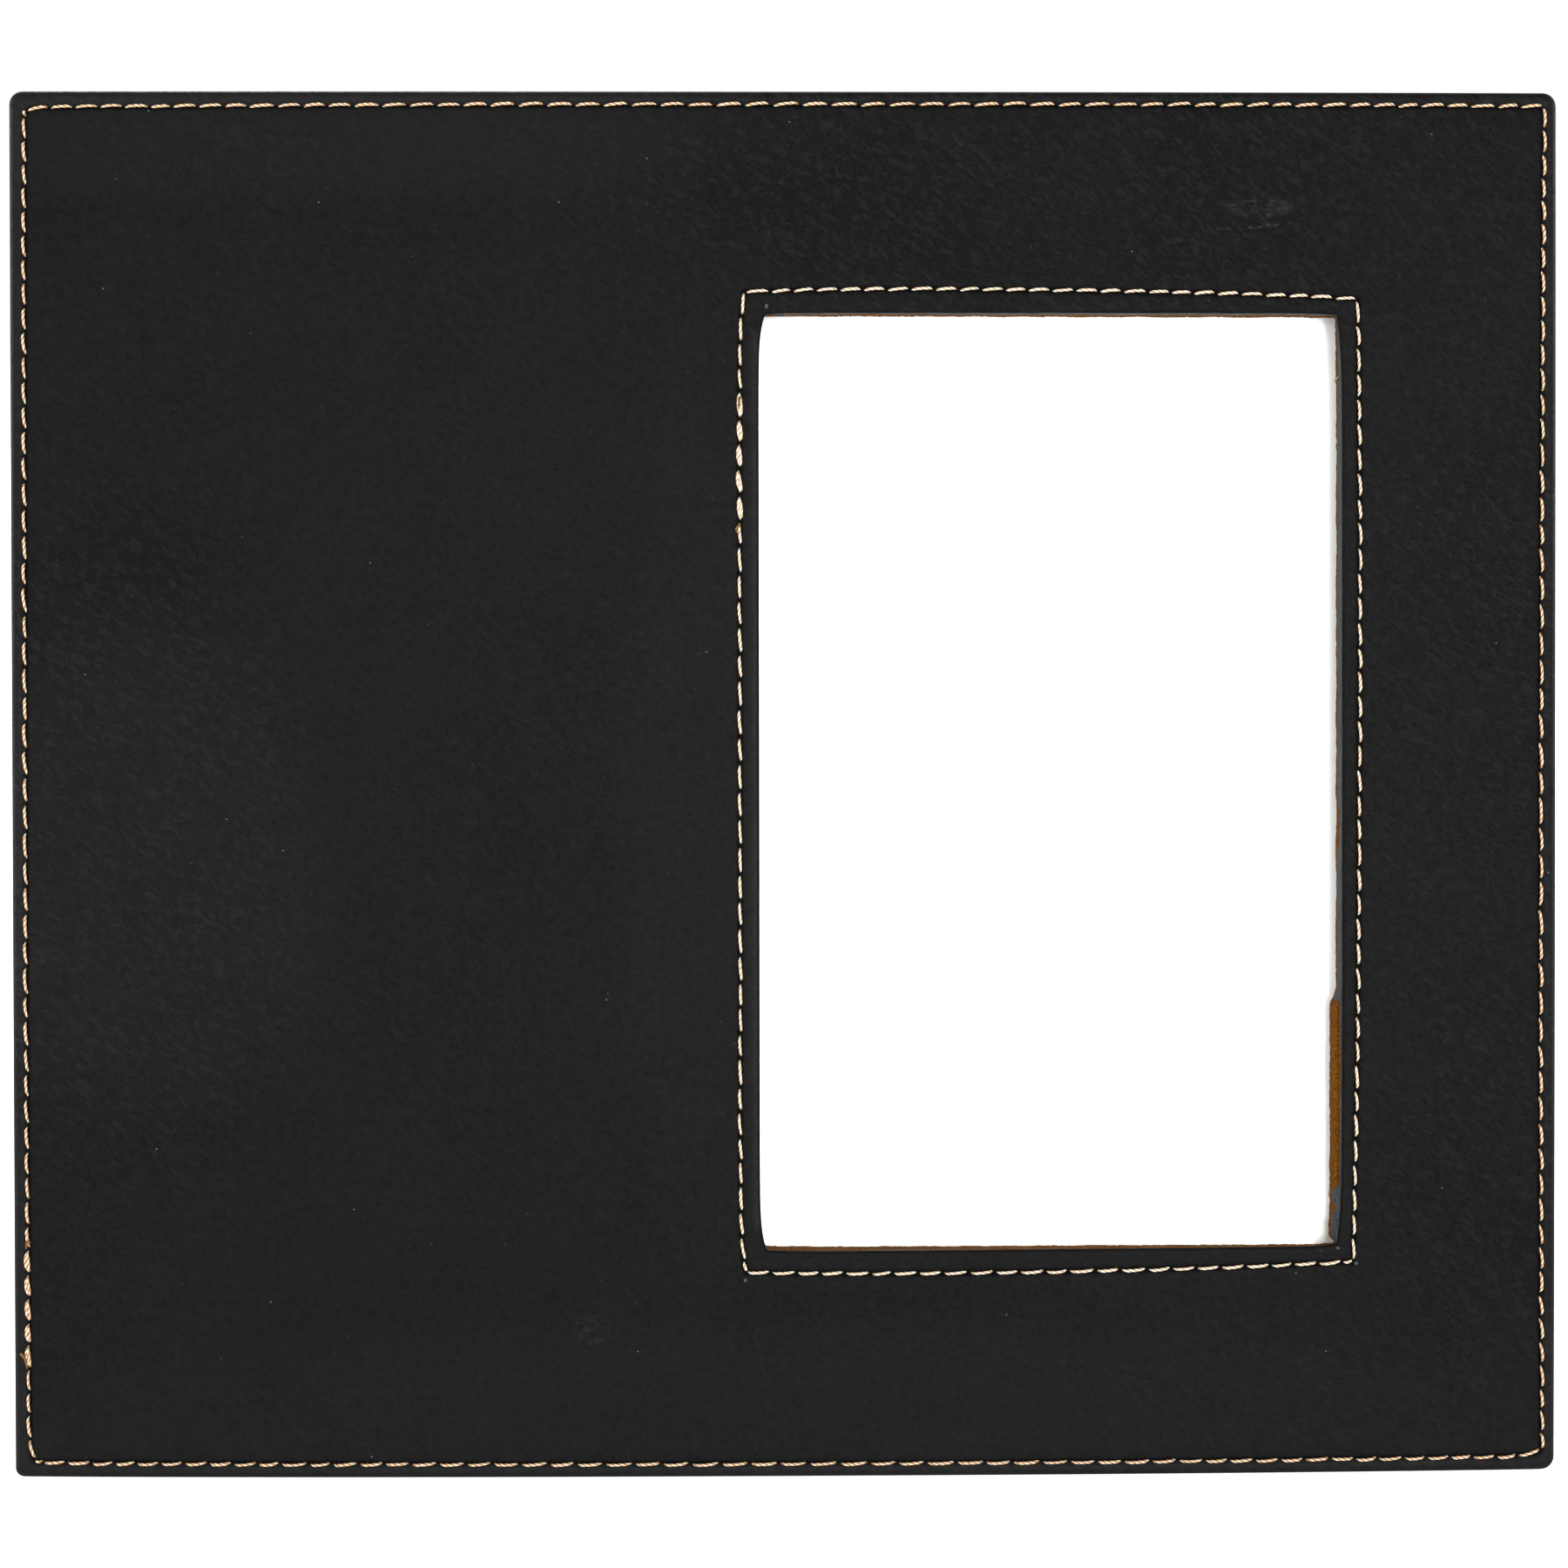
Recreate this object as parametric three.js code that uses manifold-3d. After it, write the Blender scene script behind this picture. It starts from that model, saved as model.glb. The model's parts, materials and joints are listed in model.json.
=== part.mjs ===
// Leatherette photo frame with a tall window, standing on its easel strut.
// Millimetres, +Z up. The front looks towards -Y, and the top leans back towards +Y.
import * as THREE from 'three';
import { mergeVertices } from 'three/addons/utils/BufferGeometryUtils.js';
import Module from 'manifold-3d';

const wasm = await Module();
wasm.setup();

// Overall size and stance
const leanAngle = THREE.MathUtils.degToRad(14);
const openAngle = THREE.MathUtils.degToRad(27);
const layerGap = 0.1;
const edgePlay = 0.3;

// Thickness of each layer, from the front
const coverThickness = 1.2;
const coreThickness = 3.7;
const glassThickness = 2;
const insertThickness = 0.3;
const backThickness = 3.4;

// Leatherette cover
const cornerRadius = 2;
const tightCornerRadius = 1;
const edgeRounding = 0.9;
const hemWidth = 15.2;
const flangeThickness = 0.7;
const flangeReach = 4.4;

// Window, whose edges bow outwards between its corners, and the border round it
const windowWidth = 88;
const windowHeight = 141;
const windowLeftMargin = 112.2;
const windowRightMargin = 32.4;
const windowTopMargin = 33.6;
const windowBottomMargin = 33.6;
const uprightBow = 0.85;
const levelBow = 0.3;
const bareWallStart = 9.4;
const bareWallLength = 28.5;

// Stitching
const outerSeamInset = 2.3;
const windowSeamOutset = 2.9;
const outerStitchPitch = 3.84;
const windowStitchPitch = 3.7;
const seamCornerCut = 1.2;
const threadRadius = 0.3;
const threadSides = 4;
const stitchRise = 0.02;
const stitchDip = 0.45;
const stitchShoulder = 0.16;
const grooveWidth = 1;
const grooveDepth = 0.82;

// Glass, insert and the card and boards behind them
const glassSideLap = 6.8;
const glassEndLap = 5.7;
const rimWidth = 16;

// Turn buttons, which hold the back panel in
const buttonPivotInset = 9.5;
const buttonThickness = 0.8;
const buttonRadius = 4;
const buttonTipRadius = 2.5;
const buttonReach = 9;
const buttonSpread = 60;
const buttonClearance = 0.3;
const screwRadius = 1.1;
const screwHeadRadius = 2.7;
const screwHeadHeight = 1.2;
const screwBite = 4;
const screwSlotWidth = 0.6;
const screwSlotDepth = 0.7;
const holeClearance = 0.15;

// Easel strut and its hinge
const hingeHeight = 128;
const strutThickness = 2.5;
const strutTopWidth = 44;
const strutFootWidth = 75;
const leafThickness = 0.8;
const leafLength = 20;
const leafWidth = 44;
const movingLeafWidth = 32;
const movingKnuckleWidth = 16;
const knuckleRadius = 1.9;
const knuckleGap = 0.4;
const pinRadius = 0.8;
const pinHeadRadius = 1.4;
const pinHeadLength = 0.6;
const stopLength = 6;
const rivetRadius = 1.1;
const rivetHeadRadius = 2.2;
const rivetHeadHeight = 0.8;
const rivetSpread = 12;
const rivetRow = 14;
const rivetBite = 1.9;

// Places worked out from the sizes above
const wallDepth = coverThickness + layerGap + coreThickness;
const glassFront = wallDepth + layerGap;
const insertFront = glassFront + glassThickness + layerGap;
const fillerDepth = glassThickness + layerGap + insertThickness;
const backFront = glassFront + fillerDepth + layerGap;
const frameDepth = backFront + backThickness;
const frameWidth = windowLeftMargin + windowWidth + windowRightMargin;
const frameHeight = windowBottomMargin + windowHeight + windowTopMargin;
const middleHeight = frameHeight / 2;
const glassWidth = windowWidth + 2 * glassSideLap;
const glassHeight = windowHeight + 2 * glassEndLap;
const bareWallBottom = windowBottomMargin + bareWallStart;
const bareWallTop = bareWallBottom + bareWallLength;
const windowX = frameWidth / 2 - windowRightMargin - windowWidth / 2;
const windowZ = windowBottomMargin + windowHeight / 2;
const recessWidth = frameWidth - 2 * rimWidth;
const recessHeight = frameHeight - 2 * rimWidth;
const coreWidth = frameWidth - 2 * (coverThickness + layerGap);
const coreHeight = frameHeight - 2 * (coverThickness + layerGap);
const pinY = frameDepth + layerGap + knuckleRadius;
const strutLean = openAngle - leanAngle;
const footLift = frameDepth * Math.sin(leanAngle);
const pinRise = footLift + hingeHeight * Math.cos(leanAngle) - pinY * Math.sin(leanAngle);
const strutLength = pinRise / Math.cos(strutLean);

// Finishes
const leatherette = { color: 0x1c1b1c, roughness: 0.5, metalness: 0 };
const fibreboard = { color: 0x6b3f24, roughness: 0.9, metalness: 0 };
const tanThread = { color: 0xb98a5c, roughness: 0.7, metalness: 0 };
const creamThread = { color: 0xd8c8ae, roughness: 0.7, metalness: 0 };
const clearGlass = { color: 0xdfe8e8, roughness: 0.05, metalness: 0 };
const whiteCard = { color: 0xf4f4f2, roughness: 0.8, metalness: 0 };
const blackBoard = { color: 0x242325, roughness: 0.8, metalness: 0 };
const brass = { color: 0xb59a5a, roughness: 0.35, metalness: 1 };

// A closed mesh as a solid that can be cut and joined; faces without area are left out
function toSolid(geometry) {
  const bare = geometry.clone();
  bare.deleteAttribute('normal');
  bare.deleteAttribute('uv');
  const merged = mergeVertices(bare, 1e-4);
  const corners = merged.index.array;
  const faces = [];
  for (let start = 0; start < corners.length; start += 3) {
    const [a, b, c] = corners.subarray(start, start + 3);
    if (a !== b && b !== c && c !== a) faces.push(a, b, c);
  }
  return new wasm.Manifold(new wasm.Mesh({
    numProp: 3,
    vertProperties: new Float32Array(merged.attributes.position.array),
    triVerts: new Uint32Array(faces),
  }));
}

function toGeometry(solid) {
  const mesh = solid.getMesh();
  const indexed = new THREE.BufferGeometry();
  indexed.setAttribute('position', new THREE.BufferAttribute(mesh.vertProperties, 3));
  indexed.setIndex(new THREE.BufferAttribute(mesh.triVerts, 1));
  const geometry = indexed.toNonIndexed();
  geometry.computeVertexNormals();
  return geometry;
}

function addMesh(group, name, geometry, finish) {
  const mesh = new THREE.Mesh(geometry, new THREE.MeshStandardMaterial(finish));
  mesh.name = name;
  group.add(mesh);
  return mesh;
}

// An outline drawn in x and z, given its depth along y
function slab(shape, front, depth, options = {}) {
  const geometry = new THREE.ExtrudeGeometry(shape, {
    depth, bevelEnabled: false, curveSegments: 6, ...options,
  });
  geometry.rotateX(Math.PI / 2);
  geometry.translate(0, front + depth, 0);
  return geometry;
}

function block(x0, x1, y0, y1, z0, z1) {
  const geometry = new THREE.BoxGeometry(x1 - x0, y1 - y0, z1 - z0);
  geometry.translate((x0 + x1) / 2, (y0 + y1) / 2, (z0 + z1) / 2);
  return geometry;
}

// A rod along x, or along y, round the given centre
function rodAlongX(radius, x0, x1, sides = 16) {
  const geometry = new THREE.CylinderGeometry(radius, radius, x1 - x0, sides);
  geometry.rotateZ(-Math.PI / 2);
  geometry.translate((x0 + x1) / 2, 0, 0);
  return geometry;
}

function rodAlongY(radius, x, y0, y1, z, sides = 12) {
  const geometry = new THREE.CylinderGeometry(radius, radius, y1 - y0, sides);
  geometry.translate(x, (y0 + y1) / 2, z);
  return geometry;
}

function rectangle(width, height, centreX = 0, centreZ = middleHeight) {
  const shape = new THREE.Shape();
  shape.moveTo(centreX - width / 2, centreZ - height / 2);
  shape.lineTo(centreX + width / 2, centreZ - height / 2);
  shape.lineTo(centreX + width / 2, centreZ + height / 2);
  shape.lineTo(centreX - width / 2, centreZ + height / 2);
  shape.closePath();
  return shape;
}

// The outer outline: three corners alike, and a tighter one at the lower left
function panelOutline() {
  const half = frameWidth / 2;
  const round = cornerRadius;
  const tight = tightCornerRadius;
  const shape = new THREE.Shape();
  shape.moveTo(-half + tight, 0);
  shape.lineTo(half - round, 0);
  shape.absarc(half - round, round, round, -Math.PI / 2, 0);
  shape.lineTo(half, frameHeight - round);
  shape.absarc(half - round, frameHeight - round, round, 0, Math.PI / 2);
  shape.lineTo(-half + round, frameHeight);
  shape.absarc(-half + round, frameHeight - round, round, Math.PI / 2, Math.PI);
  shape.lineTo(-half, tight);
  shape.absarc(-half + tight, tight, tight, Math.PI, Math.PI * 1.5);
  return shape;
}

// The window's outline, set outwards all round; its sides are shallow curves
function windowOutline(outset = 0) {
  const right = windowWidth / 2 + outset;
  const top = windowHeight / 2 + outset;
  const shape = new THREE.Shape();
  const corner = (sideX, sideZ) => [
    windowX + sideX * (right - uprightBow),
    windowZ + sideZ * (top - levelBow),
  ];
  shape.moveTo(...corner(-1, -1));
  shape.quadraticCurveTo(windowX, windowZ - top - levelBow, ...corner(1, -1));
  shape.quadraticCurveTo(windowX + right + uprightBow, windowZ, ...corner(1, 1));
  shape.quadraticCurveTo(windowX, windowZ + top + levelBow, ...corner(-1, 1));
  shape.quadraticCurveTo(windowX - right - uprightBow, windowZ, ...corner(-1, -1));
  return shape;
}

// A seam's line: four sides, bowed or straight, and a short slanting stitch over each corner
function seamLine(centreX, centreZ, width, height, bowX, bowZ, outset) {
  const right = width / 2 + outset;
  const top = height / 2 + outset;
  const cut = seamCornerCut + outset * (2 - Math.SQRT2);
  const shape = new THREE.Shape();
  const nearLevel = (sideX, sideZ) => [
    centreX + sideX * (right - cut),
    centreZ + sideZ * (top - bowZ),
  ];
  const nearUpright = (sideX, sideZ) => [
    centreX + sideX * (right - bowX),
    centreZ + sideZ * (top - cut),
  ];
  shape.moveTo(...nearLevel(-1, -1));
  shape.quadraticCurveTo(centreX, centreZ - top - bowZ, ...nearLevel(1, -1));
  shape.lineTo(...nearUpright(1, -1));
  shape.quadraticCurveTo(centreX + right + bowX, centreZ, ...nearUpright(1, 1));
  shape.lineTo(...nearLevel(1, 1));
  shape.quadraticCurveTo(centreX, centreZ + top + bowZ, ...nearLevel(-1, 1));
  shape.lineTo(...nearUpright(-1, 1));
  shape.quadraticCurveTo(centreX - right - bowX, centreZ, ...nearUpright(-1, -1));
  shape.lineTo(...nearLevel(-1, -1));
  return shape;
}

function outerSeam(outset = 0) {
  const width = frameWidth - 2 * outerSeamInset;
  const height = frameHeight - 2 * outerSeamInset;
  return seamLine(0, middleHeight, width, height, 0, 0, outset);
}

function windowSeam(outset = 0) {
  const width = windowWidth + 2 * windowSeamOutset;
  const height = windowHeight + 2 * windowSeamOutset;
  return seamLine(windowX, windowZ, width, height, uprightBow, levelBow, outset);
}

// The needle holes of a seam: whole stitches on each side, one over each corner
function needleHoles(line, pitch) {
  const holes = [];
  for (const side of line.curves) {
    const count = Math.max(1, Math.round(side.getLength() / pitch));
    holes.push(...side.getSpacedPoints(count).slice(0, count));
  }
  return holes;
}

// One closed loop of thread that dips into each hole and lies flat between two
function threadLoop(holes) {
  const rings = [];
  const count = holes.length;
  for (let index = 0; index < count; index += 1) {
    const here = holes[index];
    const next = holes[(index + 1) % count];
    const last = holes[(index + count - 1) % count];
    const along = next.clone().sub(here).normalize();
    const before = here.clone().sub(last).normalize();
    rings.push({ point: here, along: along.clone().add(before).normalize(), depth: stitchDip });
    for (const share of [stitchShoulder, 1 - stitchShoulder]) {
      rings.push({ point: here.clone().lerp(next, share), along, depth: stitchRise });
    }
  }
  const positions = [];
  const faces = [];
  rings.forEach((ring, ringIndex) => {
    for (let side = 0; side < threadSides; side += 1) {
      const angle = (side / threadSides) * 2 * Math.PI;
      const across = threadRadius * Math.cos(angle);
      const inwards = threadRadius * Math.sin(angle);
      positions.push(
        ring.point.x + ring.along.y * across,
        ring.depth + inwards,
        ring.point.y - ring.along.x * across,
      );
      const nextRing = (ringIndex + 1) % rings.length;
      const nextSide = (side + 1) % threadSides;
      const a = ringIndex * threadSides + side;
      const b = nextRing * threadSides + side;
      const c = nextRing * threadSides + nextSide;
      const d = ringIndex * threadSides + nextSide;
      faces.push(a, c, b, a, d, c);
    }
  });
  const geometry = new THREE.BufferGeometry();
  geometry.setAttribute('position', new THREE.Float32BufferAttribute(positions, 3));
  geometry.setIndex(faces);
  return toGeometry(toSolid(geometry));
}

// Where the turn buttons pivot, and which way each points at rest
function buttonPlaces() {
  const sideX = frameWidth / 2 - buttonPivotInset;
  const topZ = frameHeight - buttonPivotInset;
  return [
    { x: -buttonSpread, z: topZ, turn: Math.PI },
    { x: buttonSpread, z: topZ, turn: Math.PI },
    { x: sideX, z: middleHeight, turn: -Math.PI / 2 },
    { x: buttonSpread, z: buttonPivotInset, turn: 0 },
    { x: -buttonSpread, z: buttonPivotInset, turn: 0 },
    { x: -sideX, z: middleHeight, turn: Math.PI / 2 },
  ];
}

function screwHoles(solid, front, rear) {
  let drilled = solid;
  for (const place of buttonPlaces()) {
    const hole = rodAlongY(screwRadius + holeClearance, place.x, front, rear, place.z);
    drilled = drilled.subtract(toSolid(hole));
  }
  return drilled;
}

// Front, four edges, hem and window lining, as one folded sheet
function frontCover() {
  const overrun = 2 * edgeRounding;
  const body = slab(panelOutline(), 0, frameDepth + overrun, {
    bevelEnabled: true, bevelThickness: edgeRounding, bevelSize: edgeRounding,
    bevelOffset: -edgeRounding, bevelSegments: 3, curveSegments: 4,
  });
  body.translate(0, edgeRounding, 0);
  let sheet = toSolid(body);
  const beyond = frameDepth + 4 * overrun;
  const half = frameWidth;
  sheet = sheet.subtract(toSolid(block(-half, half, frameDepth, beyond, -half, 2 * half)));
  const insideWidth = frameWidth - 2 * coverThickness;
  const insideHeight = frameHeight - 2 * coverThickness;
  const insideDepth = frameDepth - 2 * coverThickness;
  const inside = slab(rectangle(insideWidth, insideHeight), coverThickness, insideDepth);
  sheet = sheet.subtract(toSolid(inside));
  const hemOpening = rectangle(frameWidth - 2 * hemWidth, frameHeight - 2 * hemWidth);
  const rearCut = slab(hemOpening, frameDepth / 2, frameDepth);
  sheet = sheet.subtract(toSolid(rearCut));
  sheet = sheet.add(toSolid(slab(windowOutline(flangeThickness), 0, flangeReach)));
  sheet = sheet.subtract(toSolid(slab(windowOutline(), -1, wallDepth + 2)));
  const wallX = windowX + windowWidth / 2;
  const bareWall = block(
    wallX - 2 * uprightBow, wallX + 2 * flangeThickness,
    coverThickness, wallDepth + 1, bareWallBottom, bareWallTop,
  );
  sheet = sheet.subtract(toSolid(bareWall));
  for (const seam of [outerSeam, windowSeam]) {
    const outside = toSolid(slab(seam(grooveWidth / 2), -1, grooveDepth + 1));
    const island = toSolid(slab(seam(-grooveWidth / 2), -2, grooveDepth + 4));
    sheet = sheet.subtract(outside.subtract(island));
  }
  return toGeometry(screwHoles(sheet, frameDepth / 2, frameDepth + 1));
}

function coreBoard() {
  const board = rectangle(coreWidth, coreHeight);
  const opening = windowOutline(flangeThickness + layerGap);
  const front = coverThickness + layerGap;
  const solid = toSolid(slab(board, front, coreThickness));
  return toGeometry(solid.subtract(toSolid(slab(opening, 0, frameDepth))));
}

function rearRim() {
  const front = glassFront;
  const depth = frameDepth - coverThickness - layerGap - front;
  const board = toSolid(slab(rectangle(coreWidth, coreHeight), front, depth));
  const recess = toSolid(slab(rectangle(recessWidth, recessHeight), 0, 2 * frameDepth));
  const screwFront = frameDepth - coverThickness - screwBite;
  return toGeometry(screwHoles(board.subtract(recess), screwFront, frameDepth));
}

function fillerBoard() {
  const width = recessWidth - 2 * edgePlay;
  const height = recessHeight - 2 * edgePlay;
  const board = toSolid(slab(rectangle(width, height), glassFront, fillerDepth));
  const pocketWidth = glassWidth + 2 * edgePlay;
  const pocketHeight = glassHeight + 2 * edgePlay;
  const pocket = rectangle(pocketWidth, pocketHeight, windowX, windowZ);
  return toGeometry(board.subtract(toSolid(slab(pocket, 0, 2 * frameDepth))));
}

// Rivet places on a leaf, as offsets from the pin
const rivetColumns = [-rivetSpread, 0, rivetSpread];

function backPanel() {
  const width = recessWidth - 2 * edgePlay;
  const height = recessHeight - 2 * edgePlay;
  let board = toSolid(slab(rectangle(width, height), backFront, backThickness));
  for (const x of rivetColumns) {
    const front = frameDepth - rivetBite - edgePlay;
    const z = hingeHeight + rivetRow;
    const hole = rodAlongY(rivetRadius + holeClearance, x, front, frameDepth + 1, z);
    board = board.subtract(toSolid(hole));
  }
  return toGeometry(board);
}

// A domed head on a shank along y; the head's flat side is at zero and the dome towards +y
function headedPin(shankRadius, shankLength, headRadius, headHeight) {
  const profile = [
    new THREE.Vector2(0, -shankLength),
    new THREE.Vector2(shankRadius, -shankLength),
    new THREE.Vector2(shankRadius, 0),
    new THREE.Vector2(headRadius, 0),
    new THREE.Vector2(headRadius * 0.9, headHeight * 0.55),
    new THREE.Vector2(headRadius * 0.55, headHeight * 0.9),
    new THREE.Vector2(0, headHeight),
  ];
  return new THREE.LatheGeometry(profile, 12);
}

// A round-ended plate, wide at its pivot and narrow at its tip
function turnButton() {
  const spread = Math.asin((buttonRadius - buttonTipRadius) / buttonReach);
  const shape = new THREE.Shape();
  shape.absarc(0, 0, buttonRadius, Math.PI - spread, 2 * Math.PI + spread);
  shape.absarc(0, buttonReach, buttonTipRadius, spread, Math.PI - spread);
  shape.closePath();
  const plate = toSolid(slab(shape, 0, buttonThickness));
  const hole = rodAlongY(screwRadius + holeClearance, 0, -1, buttonThickness + 1, 0);
  return toGeometry(plate.subtract(toSolid(hole)));
}

function turnButtonScrew(shankLength, slotTurn) {
  const screw = toSolid(headedPin(screwRadius, shankLength, screwHeadRadius, screwHeadHeight));
  const slot = block(
    -screwHeadRadius, screwHeadRadius,
    screwHeadHeight - screwSlotDepth, screwHeadHeight + 1,
    -screwSlotWidth / 2, screwSlotWidth / 2,
  );
  slot.rotateY(slotTurn);
  return toGeometry(screw.subtract(toSolid(slot)));
}

// Hinge leaves are drawn about the pin, with the frame's back to their front
function fixedLeaf() {
  const half = leafWidth / 2;
  const inner = movingKnuckleWidth / 2 + knuckleGap;
  const outline = new THREE.Shape();
  outline.moveTo(-half, 0);
  outline.lineTo(-inner, 0);
  outline.lineTo(-inner, knuckleRadius + knuckleGap);
  outline.lineTo(inner, knuckleRadius + knuckleGap);
  outline.lineTo(inner, 0);
  outline.lineTo(half, 0);
  outline.lineTo(half, leafLength - 3);
  outline.lineTo(half - 3, leafLength);
  outline.lineTo(-half + 3, leafLength);
  outline.lineTo(-half, leafLength - 3);
  outline.closePath();
  let leaf = toSolid(slab(outline, -knuckleRadius, leafThickness));
  leaf = leaf.add(toSolid(rodAlongX(knuckleRadius, -half, -inner)));
  leaf = leaf.add(toSolid(rodAlongX(knuckleRadius, inner, half)));
  leaf = leaf.subtract(toSolid(rodAlongX(pinRadius + holeClearance, -half - 1, half + 1)));
  return toGeometry(rivetHoles(leaf, rivetRow, -2 * knuckleRadius, 0));
}

function rivetHoles(leaf, z, front, rear) {
  let drilled = leaf;
  for (const x of rivetColumns) {
    const hole = rodAlongY(rivetRadius + holeClearance, x, front, rear, z);
    drilled = drilled.subtract(toSolid(hole));
  }
  return drilled;
}

// The strut's leaf lies on the strut's back, and its lug stops it against the fixed leaf
function movingLeaf() {
  const neck = movingKnuckleWidth / 2;
  const half = movingLeafWidth / 2;
  const shoulder = knuckleRadius + 1.1;
  const front = strutThickness / 2 + layerGap;
  const outline = new THREE.Shape();
  outline.moveTo(-neck, 0);
  outline.lineTo(-neck, -shoulder);
  outline.lineTo(-half, -shoulder);
  outline.lineTo(-half, -leafLength + 3);
  outline.lineTo(-half + 3, -leafLength);
  outline.lineTo(half - 3, -leafLength);
  outline.lineTo(half, -leafLength + 3);
  outline.lineTo(half, -shoulder);
  outline.lineTo(neck, -shoulder);
  outline.lineTo(neck, 0);
  outline.closePath();
  let leaf = toSolid(slab(outline, front, leafThickness));
  leaf = leaf.add(toSolid(rodAlongX(knuckleRadius, -neck, neck)));
  const lugFront = -knuckleRadius + leafThickness + layerGap;
  const lug = block(-neck, neck, lugFront, lugFront + leafThickness, 0, stopLength);
  lug.rotateX(-openAngle);
  leaf = leaf.add(toSolid(lug));
  leaf = leaf.subtract(toSolid(rodAlongX(pinRadius + holeClearance, -neck - 1, neck + 1)));
  return toGeometry(rivetHoles(leaf, -rivetRow, 0, 2 * knuckleRadius + leafThickness));
}

function hingePin() {
  const end = leafWidth / 2 + layerGap;
  let pin = toSolid(rodAlongX(pinRadius, -end - 0.1, end + 0.1));
  for (const side of [-1, 1]) {
    const near = side * end;
    const far = side * (end + pinHeadLength);
    const head = rodAlongX(pinHeadRadius, Math.min(near, far), Math.max(near, far));
    pin = pin.add(toSolid(head));
  }
  return toGeometry(pin);
}

// A tapered board whose foot is cut level with the table
function easelStrut() {
  const top = -knuckleRadius - knuckleGap;
  const bottom = -strutLength - strutThickness;
  const shape = new THREE.Shape();
  shape.moveTo(-strutTopWidth / 2, top);
  shape.lineTo(-strutFootWidth / 2, bottom);
  shape.lineTo(strutFootWidth / 2, bottom);
  shape.lineTo(strutTopWidth / 2, top);
  shape.closePath();
  let board = toSolid(slab(shape, -strutThickness / 2, strutThickness));
  const table = block(-strutLength, strutLength, -strutLength, strutLength, -strutLength, 0);
  table.translate(0, 0, -pinRise);
  table.rotateX(-strutLean);
  board = board.subtract(toSolid(table));
  return toGeometry(rivetHoles(board, -rivetRow, strutThickness / 2 - rivetBite, strutThickness));
}

const frame = new THREE.Group();
const panel = new THREE.Group();
panel.rotation.x = -leanAngle;
panel.position.z = footLift;
frame.add(panel);

addMesh(panel, 'front_cover', frontCover(), leatherette);
addMesh(panel, 'core_board', coreBoard(), fibreboard);
addMesh(panel, 'outer_stitching', threadLoop(needleHoles(outerSeam(), outerStitchPitch)), tanThread);
addMesh(panel, 'window_stitching', threadLoop(needleHoles(windowSeam(), windowStitchPitch)), creamThread);
addMesh(panel, 'rear_rim', rearRim(), fibreboard);
addMesh(panel, 'filler_board', fillerBoard(), fibreboard);
const paneOutline = rectangle(glassWidth, glassHeight, windowX, windowZ);
addMesh(panel, 'glass_pane', slab(paneOutline, glassFront, glassThickness), clearGlass);
addMesh(panel, 'photo_insert', slab(paneOutline, insertFront, insertThickness), whiteCard);
addMesh(panel, 'back_panel', backPanel(), blackBoard);

buttonPlaces().forEach((place, index) => {
  const plateFront = frameDepth + buttonClearance;
  const headSeat = plateFront + buttonThickness + layerGap;
  const shankLength = headSeat - frameDepth + screwBite - edgePlay;
  const button = addMesh(panel, `turn_button_${index + 1}`, turnButton(), brass);
  button.position.set(place.x, plateFront, place.z);
  button.rotation.y = place.turn;
  const slotTurn = 0.4 + 1.1 * index;
  const screw = turnButtonScrew(shankLength, slotTurn);
  addMesh(panel, `turn_button_screw_${index + 1}`, screw, brass).position.set(place.x, headSeat, place.z);
});

const hinge = new THREE.Group();
hinge.position.set(0, pinY, hingeHeight);
panel.add(hinge);
addMesh(hinge, 'hinge_leaf_fixed', fixedLeaf(), brass);
addMesh(hinge, 'hinge_pin', hingePin(), brass);

const strut = new THREE.Group();
strut.rotation.x = openAngle;
hinge.add(strut);
addMesh(strut, 'easel_strut', easelStrut(), blackBoard);
addMesh(strut, 'hinge_leaf_moving', movingLeaf(), brass);

rivetColumns.forEach((x, index) => {
  const rivet = headedPin(rivetRadius, rivetBite, rivetHeadRadius, rivetHeadHeight);
  const fixedSeat = -knuckleRadius + leafThickness + layerGap;
  const movingSeat = strutThickness / 2 + 2 * layerGap + leafThickness;
  const upper = toGeometry(toSolid(rivet));
  addMesh(hinge, `hinge_rivet_${index + 1}`, upper, brass).position.set(x, fixedSeat, rivetRow);
  addMesh(strut, `hinge_rivet_${index + 4}`, upper, brass).position.set(x, movingSeat, -rivetRow);
});

// The origin lies under the middle of the whole, so the panel moves back by half its reach
frame.updateMatrixWorld(true);
const reach = new THREE.Box3().setFromObject(frame, true);
panel.position.y = -(reach.min.y + reach.max.y) / 2;

export default frame;
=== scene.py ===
"""Looks of a black leatherette photo frame on its easel strut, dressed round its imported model.

Sizes on the frame are in millimetres in the panel's own directions: x to the right, y from the
front face to the back, z up the panel. stand() leans them back and gives metres.
"""
import json
import math

import bmesh
import bpy
import numpy as np
from mathutils import Matrix, Vector


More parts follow.
